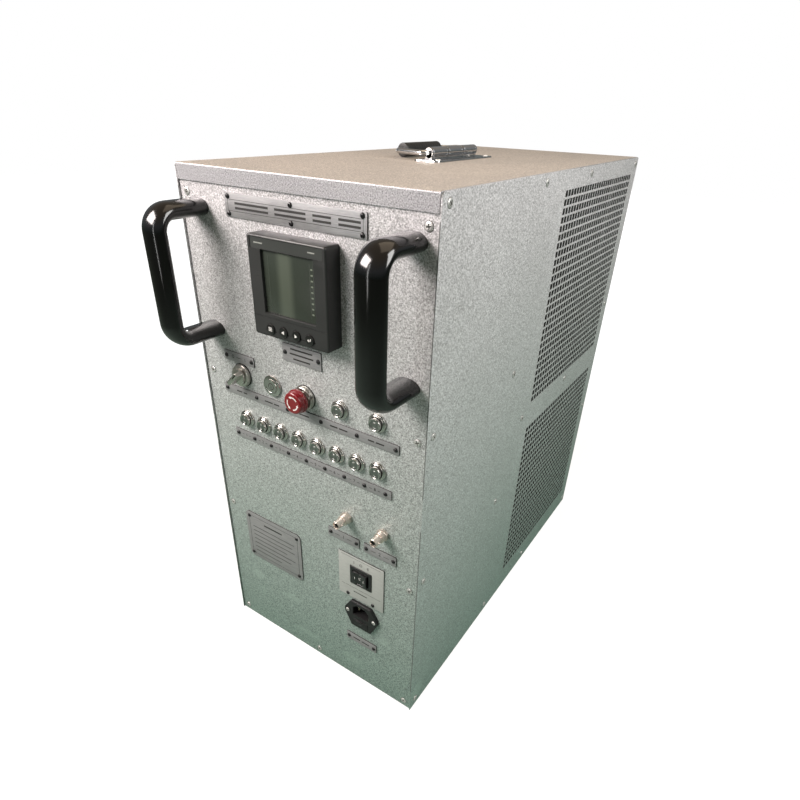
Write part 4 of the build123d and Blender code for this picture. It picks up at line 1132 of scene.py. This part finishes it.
def makeRockerBezel():
    values = rockerValues
    place = onFront(values["x"], values["z"])
    width, height, reach = values["bezel"]
    bodyWidth, bodyHeight, bodyDepth = values["body"]
    rim = block(width, height, 0, reach, 1.5)
    bevelEdges(rim, rimEdges(rim, reach - 0.01), 0.7, 3)
    rim = carve(rim, block(bodyWidth - 4.1, bodyHeight - 4.1, -1, reach + 1))
    body = carve(block(bodyWidth, bodyHeight, -bodyDepth, 0),
                 block(bodyWidth - 4.1, bodyHeight - 4.1, -14, 1))
    bm = bmesh.new()
    put(bm, rim, place)
    put(bm, body, place)
    return bm


def makeRocker():
    values = rockerValues
    half, crest, depth = values["half"], values["crest"], values["depth"]
    place = onFront(values["x"], values["z"])
    outline = [(-half, -3), (-4, -8), (4, -8), (half, -3), (half, crest), (half * 0.7, crest - 0.5),
               (half * 0.35, crest - 1.5), (0, crest - 2.4),
               (-half * 0.35, crest - 1.5), (-half * 0.7, crest - 0.5), (-half, crest)]
    body = prism(outline, -depth / 2, depth / 2)
    body.transform(Matrix.Rotation(math.pi / 2, 4, "X"))
    body = soften(body, 0.45, 3, 40)
    bm = bmesh.new()
    put(bm, body, place)
    for text, x, level in (("I", -6.6, crest - 0.55), ("O", 0, crest - 2.3), ("II", 6.6, crest - 0.55)):
        mark = textMark(text, 4.6, 0.12, 0.1)
        tilt = 0 if x == 0 else math.copysign(math.radians(-12.5), x)
        mark.transform(Matrix.Translation((x, 0, level)) @ Matrix.Rotation(tilt, 4, "Y"))
        put(bm, mark, place, 1)
    return bm


addPiece("rocker_housing", makeRockerBezel(), "case", [switchPlastic], ["rocker_bezel"])
addPiece("rocker_key", makeRocker(), "rocker_lever", [rockerPlastic, whitePrint],
         ["rocker"])

inletValues = {
    "x": 76.5, "z": 124.5, "reach": 4.2, "socket": (24.0, 16.5, 17.0, 7.6, 5.0),
    "drawer": (22.0, 9.0, 19.0, -12.6),
    "outline": [(-15, 21), (-25, 5.5), (-25, -0.5), (-15, -21), (15, -21), (25, -0.5), (25, 5.5), (15, 21)],
}


def makeInlet():
    values = inletValues
    place = onFront(values["x"], values["z"])
    flange = prism(values["outline"], 0, values["reach"])
    bevelEdges(flange, uprightEdges(flange, 1), 1.6, 4)
    bevelEdges(flange, rimEdges(flange, values["reach"] - 0.01), 0.8, 3)
    width, height, depth, level, chamfer = values["socket"]
    top, bottom, half = level + height / 2, level - height / 2, width / 2
    socket = [(-half, bottom), (half, bottom), (half, top - chamfer), (half - chamfer, top),
              (-half + chamfer, top), (-half, top - chamfer)]
    drawerWidth, drawerHeight, drawerDepth, drawerLevel = values["drawer"]
    tail = block(27.0, 36.0, -24, 0.5)
    body = combine(flange, tail, "UNION")
    body = carve(body, prism(socket, values["reach"] - depth, values["reach"] + 2),
                 moved(block(drawerWidth + 0.6, drawerHeight + 0.6, values["reach"] - drawerDepth - 0.3,
                             values["reach"] + 2), 0, drawerLevel))
    bm = bmesh.new()
    put(bm, body, place)
    return bm


def makeFuseDrawer():
    values = inletValues
    width, height, depth, level = values["drawer"]
    place = onFront(values["x"], values["z"] + level)
    bm = bmesh.new()
    put(bm, soften(block(width, height, values["reach"] - depth, values["reach"] + 0.4), 0.4), place)
    put(bm, soften(moved(block(width / 2, 1.5, values["reach"] + 0.2, values["reach"] + 1.5), 0,
                         height / 2 - 0.75), 0.25), place)
    put(bm, moved(block(4.0, 0.5, 0, 0.05), 0, -1.2, values["reach"] + 0.4), place, 1)
    return bm


drawerMark = makeFinish("drawerMark", (92, 92, 92), (80, 80, 80), 0.5, grain=0.4)
addPiece("mains_inlet", makeInlet(), "case", [inletPlastic], ["inlet_body"])
addPiece("fuse_carrier_front", makeFuseDrawer(), "fuse_carrier",
         [inletPlastic, drawerMark], ["fuse_drawer"])
print("sockets ready")

# front handles

handleValues = {"x": 128.0, "z": 517.8, "span": 126.5, "width": 30.0, "thickness": 17.6, "reach": 55.0,
                "bend": 18.0}


def makeHandles():
    values = handleValues
    half, reach = values["span"] / 2, values["reach"]
    bm = bmesh.new()
    for side in (-1, 1):
        bar = bentRod([(0, half, 0), (0, half, reach), (0, -half, reach), (0, -half, 0)],
                      values["width"] / 2, values["thickness"] / 2, values["bend"], 48, 14)
        put(bm, bar, onFront(side * values["x"], values["z"]))
    return bm


addPiece("pull_handles", makeHandles(), "case", [handleBlack], ["front_handles"], smooth=60)

# lift bail

bailValues = {
    "axis": 628.3, "throw": 46.0, "wire": 3.0, "bend": 7.0, "tail": 41.2, "shoulder": 64.2, "elbow": 52.2,
    "knuckle": [(3.08, -18), (5.5, -18), (5.9, -17.7), (6.0, -17.2), (6.0, -15.6), (5.7, -15.4),
                (5.7, -14.8), (6.0, -14.6), (6.0, 14.6), (5.7, 14.8), (5.7, 15.4), (6.0, 15.6),
                (6.0, 17.2), (5.9, 17.7), (5.5, 18), (3.08, 18), (3.08, -18)],
}


def makeBailBracket():
    values = bailValues
    bm = bmesh.new()
    plate = block(34.0, 140.0, 0, 1.6, 6.0, 8)
    bevelEdges(plate, rimEdges(plate, 1.5), 0.4, 2)
    put(bm, plate, placeOn("top", 5.0, 0, caseValues["top"]))
    for index in (-1, 0, 1):
        y = index * 37.2
        put(bm, lathe(values["knuckle"], 40), placeOn("along", 0, y, values["axis"]))
        saddle = carve(block(8.4, 36.0, 1.6, values["axis"] - caseValues["top"]),
                       turnedRod(3.08, 40.0, values["axis"] - caseValues["top"]))
        put(bm, saddle, placeOn("top", 0, y, caseValues["top"]))
    return bm


def turnedRod(radius, length, level):
    rod = lathe([(0, length / 2), (radius, length / 2), (radius, -length / 2), (0, -length / 2)], 32)
    rod.transform(Matrix.Translation((0, 0, level)) @ Matrix.Rotation(math.pi / 2, 4, "X"))
    return rod


def makeBailWire():
    values = bailValues
    points = [(0, values["tail"]), (0, values["shoulder"]), (-values["throw"], values["elbow"]),
              (-values["throw"], -values["elbow"]),
              (0, -values["shoulder"]), (0, -values["tail"])]
    wire = bentRod([(x, y, 0) for x, y in points], values["wire"], values["wire"], values["bend"], 24, 10)
    bm = bmesh.new()
    put(bm, wire, placeOn("top", 0, 0, values["axis"]))
    return bm


def makeBailGrip():
    profile = [(3.1, -40), (6.6, -40), (7.4, -39.7), (7.8, -39.0)]
    for index in range(12):
        start = -33.0 + index * 5.6
        profile += [(7.8, start), (7.45, start + 0.3), (7.45, start + 1.3), (7.8, start + 1.6)]
    profile += [(7.8, 39.0), (7.4, 39.7), (6.6, 40), (3.1, 40), (3.1, -40)]
    bm = bmesh.new()
    put(bm, lathe(profile, 44), placeOn("along", -bailValues["throw"], 0, bailValues["axis"]))
    return bm


addPiece("bail_hinge_plate", makeBailBracket(), "case", [chrome], ["bail_bracket"])
rivets = bmesh.new()
rivetValues = {"radius": 3.4, "height": 1.4, "slotLength": 3.8, "slotWidth": 0.8}
putScrews(rivets, makeCrossScrew(rivetValues),
          [placeOn("top", 16.0, side * 60.0, 621.6) for side in (-1, 1)])
addPiece("bail_screws", rivets, "case", [screwZinc, recessShade], ["bail_rivets"])
addPiece("bail_loop", makeBailWire(), "bail", [chrome], ["bail_wire"], smooth=60)
addPiece("bail_handle", makeBailGrip(), "bail", [gripPlastic], ["bail_grip"])

# power terminals on the back

terminalValues = {"level": 84.0, "pitch": 52.0, "board": (240.0, 64.0, 10.0), "nut": 17.0, "reach": 16.0}


def makeTerminals():
    values = terminalValues
    width, height, depth = values["board"]
    board = soften(block(width, height, 0, depth, 4.0), 0.6, 2, 50)
    studs = bmesh.new()
    thread = [(0, -24), (5, -24), (5, depth + 8)]
    level = depth + 8
    while level < depth + values["reach"] - 1.2:
        thread += [(5.0, level + 0.3), (4.6, level + 0.75)]
        level += 1.2
    thread += [(4.6, depth + values["reach"] - 0.8), (4.0, depth + values["reach"]),
               (0, depth + values["reach"])]
    for index in range(4):
        place = placeOn("back", -(index - 1.5) * values["pitch"], caseValues["back"], values["level"])
        put(studs, lathe(thread, 24), place)
        put(studs, soften(prism(hexagon(values["nut"]), depth + 1.6, depth + 8), 0.5), place)
        put(studs, lathe([(5.1, depth), (10.2, depth), (10.2, depth + 1.4), (9.9, depth + 1.6),
                          (5.1, depth + 1.6), (5.1, depth)], 32), place)
    boardPiece = bmesh.new()
    put(boardPiece, board, placeOn("back", 0, caseValues["back"], values["level"]))
    return boardPiece, studs


boardMesh, studMesh = makeTerminals()
addPiece("stud_board", boardMesh, "case", [boardBlack], ["terminal_board"])
addPiece("load_studs", studMesh, "case", [studBrass], ["terminal_studs"])
print("handles, bail and terminals ready")

# floor, light and camera

stageValues = {
    "floorBounce": (0.17, 0.23, 0.20, 1.0), "floorGlow": 1.2, "glowShare": 0.6,
    "shadowReach": (0.45, 1.3), "worldStrength": 0.4, "worldTop": (0.86, 0.68, 0.48, 1.0),
    "worldSide": (0.62, 0.64, 0.66, 1.0), "worldLow": (0.10, 0.17, 0.13, 1.0),
}


def makeFloor():
    bm = bmesh.new()
    bmesh.ops.create_grid(bm, x_segments=2, y_segments=2, size=6.0,
                          matrix=Matrix.Translation((0, 0, -0.0005)))
    mesh = bpy.data.meshes.new("floor")
    bm.to_mesh(mesh)
    bm.free()
    floor = bpy.data.objects.new("floor", mesh)
    scene.collection.objects.link(floor)
    material, tree, shader = startMaterial("floorTone", Roughness=0.9, Metallic=0.0)
    shader.inputs["Specular IOR Level"].default_value = 0.1
    glow = addNode(tree, "ShaderNodeEmission",
                   [("Color", (1, 1, 1, 1)), ("Strength", stageValues["floorGlow"])])
    path = addNode(tree, "ShaderNodeLightPath")
    tree.links.new(mixColours(tree, path.outputs["Is Camera Ray"], stageValues["floorBounce"],
                              (0.9, 0.9, 0.9, 1.0)), shader.inputs["Base Color"])
    mixed = addNode(tree, "ShaderNodeMixShader", [(1, shader.outputs[0]), (2, glow.outputs[0])])
    coords = addNode(tree, "ShaderNodeTexCoord")
    away = addNode(tree, "ShaderNodeVectorMath", [(0, coords.outputs["Object"])], operation="LENGTH")
    fade = addRange(tree, away.outputs["Value"], start=stageValues["shadowReach"][0],
                    end=stageValues["shadowReach"][1], low=stageValues["glowShare"], kind="SMOOTHSTEP")
    share = addMath(tree, "MULTIPLY", path.outputs["Is Camera Ray"], fade.outputs[0])
    tree.links.new(share.outputs[0], mixed.inputs[0])
    tree.links.new(mixed.outputs[0], tree.nodes["Material Output"].inputs["Surface"])
    mesh.materials.append(material)


def makeWorld():
    world = bpy.data.worlds.new("softRoom")
    scene.world = world
    world.use_nodes = True
    tree = world.node_tree
    tree.nodes.clear()
    coords = addNode(tree, "ShaderNodeTexCoord")
    parts = addNode(tree, "ShaderNodeSeparateXYZ", [(0, coords.outputs["Generated"])])
    low = addRange(tree, parts.outputs["Z"], start=-0.1, end=0.25)
    high = addRange(tree, parts.outputs["Z"], start=0.3, end=0.85)
    sky = mixColours(tree, low.outputs[0], stageValues["worldLow"], stageValues["worldSide"])
    sky = mixColours(tree, high.outputs[0], sky, stageValues["worldTop"])
    path = addNode(tree, "ShaderNodeLightPath")
    lit = addNode(tree, "ShaderNodeBackground",
                  [("Color", sky), ("Strength", stageValues["worldStrength"])])
    seen = addNode(tree, "ShaderNodeBackground", [("Color", (1, 1, 1, 1)), ("Strength", 1.0)])
    mixed = addNode(tree, "ShaderNodeMixShader",
                    [(0, path.outputs["Is Camera Ray"]), (1, lit.outputs[0]), (2, seen.outputs[0])])
    addNode(tree, "ShaderNodeOutputWorld", [("Surface", mixed.outputs[0])])


def addLight(name, place, target, width, height, power, colour=(1, 1, 1)):
    data = bpy.data.lights.new(name, "AREA")
    data.shape = "RECTANGLE"
    data.size = width
    data.size_y = height
    data.energy = power
    data.color = colour
    light = bpy.data.objects.new(name, data)
    scene.collection.objects.link(light)
    light.location = place
    light.rotation_euler = (Vector(target) - Vector(place)).to_track_quat("-Z", "Y").to_euler()
    return light


makeFloor()
makeWorld()
addLight("overhead", (0.1, 0.1, 1.9), (0, 0, 0.4), 1.2, 1.0, 4, (1.0, 0.82, 0.62))
addLight("frontHigh", (-0.62, -0.92, 1.14), (-0.05, -0.28, 0.5), 0.7, 0.5, 25, (1.0, 0.91, 0.88))
addLight("backFill", (-1.3, 1.9, 0.32), (0, 0, 0.3), 1.4, 0.5, 22, (0.98, 1.0, 1.0))
addLight("stripLeft", (-0.35, -1.5, 0.75), (0.1, -0.3, 0.5), 0.05, 1.1, 1.6, (1.0, 0.99, 0.98))
addLight("rightHigh", (1.02, -0.1, 1.18), (0.15, 0.0, 0.42), 0.6, 0.9, 17, (1.0, 0.99, 0.97))

cameraValues = {"place": (0.3777, -0.6798, 0.6719), "turn": (58.9696, -1.6554, 34.0530), "lens": 25.32,
                "shift": (0.0028, 0.0576)}
camera = bpy.data.objects.new("camera", bpy.data.cameras.new("camera"))
scene.collection.objects.link(camera)
camera.location = cameraValues["place"]
camera.rotation_euler = [math.radians(angle) for angle in cameraValues["turn"]]
camera.data.lens = cameraValues["lens"]
camera.data.sensor_width = 36.0
camera.data.shift_x, camera.data.shift_y = cameraValues["shift"]
camera.data.clip_start = 0.01
scene.camera = camera
scene.view_settings.view_transform = "Standard"
print("stage ready")
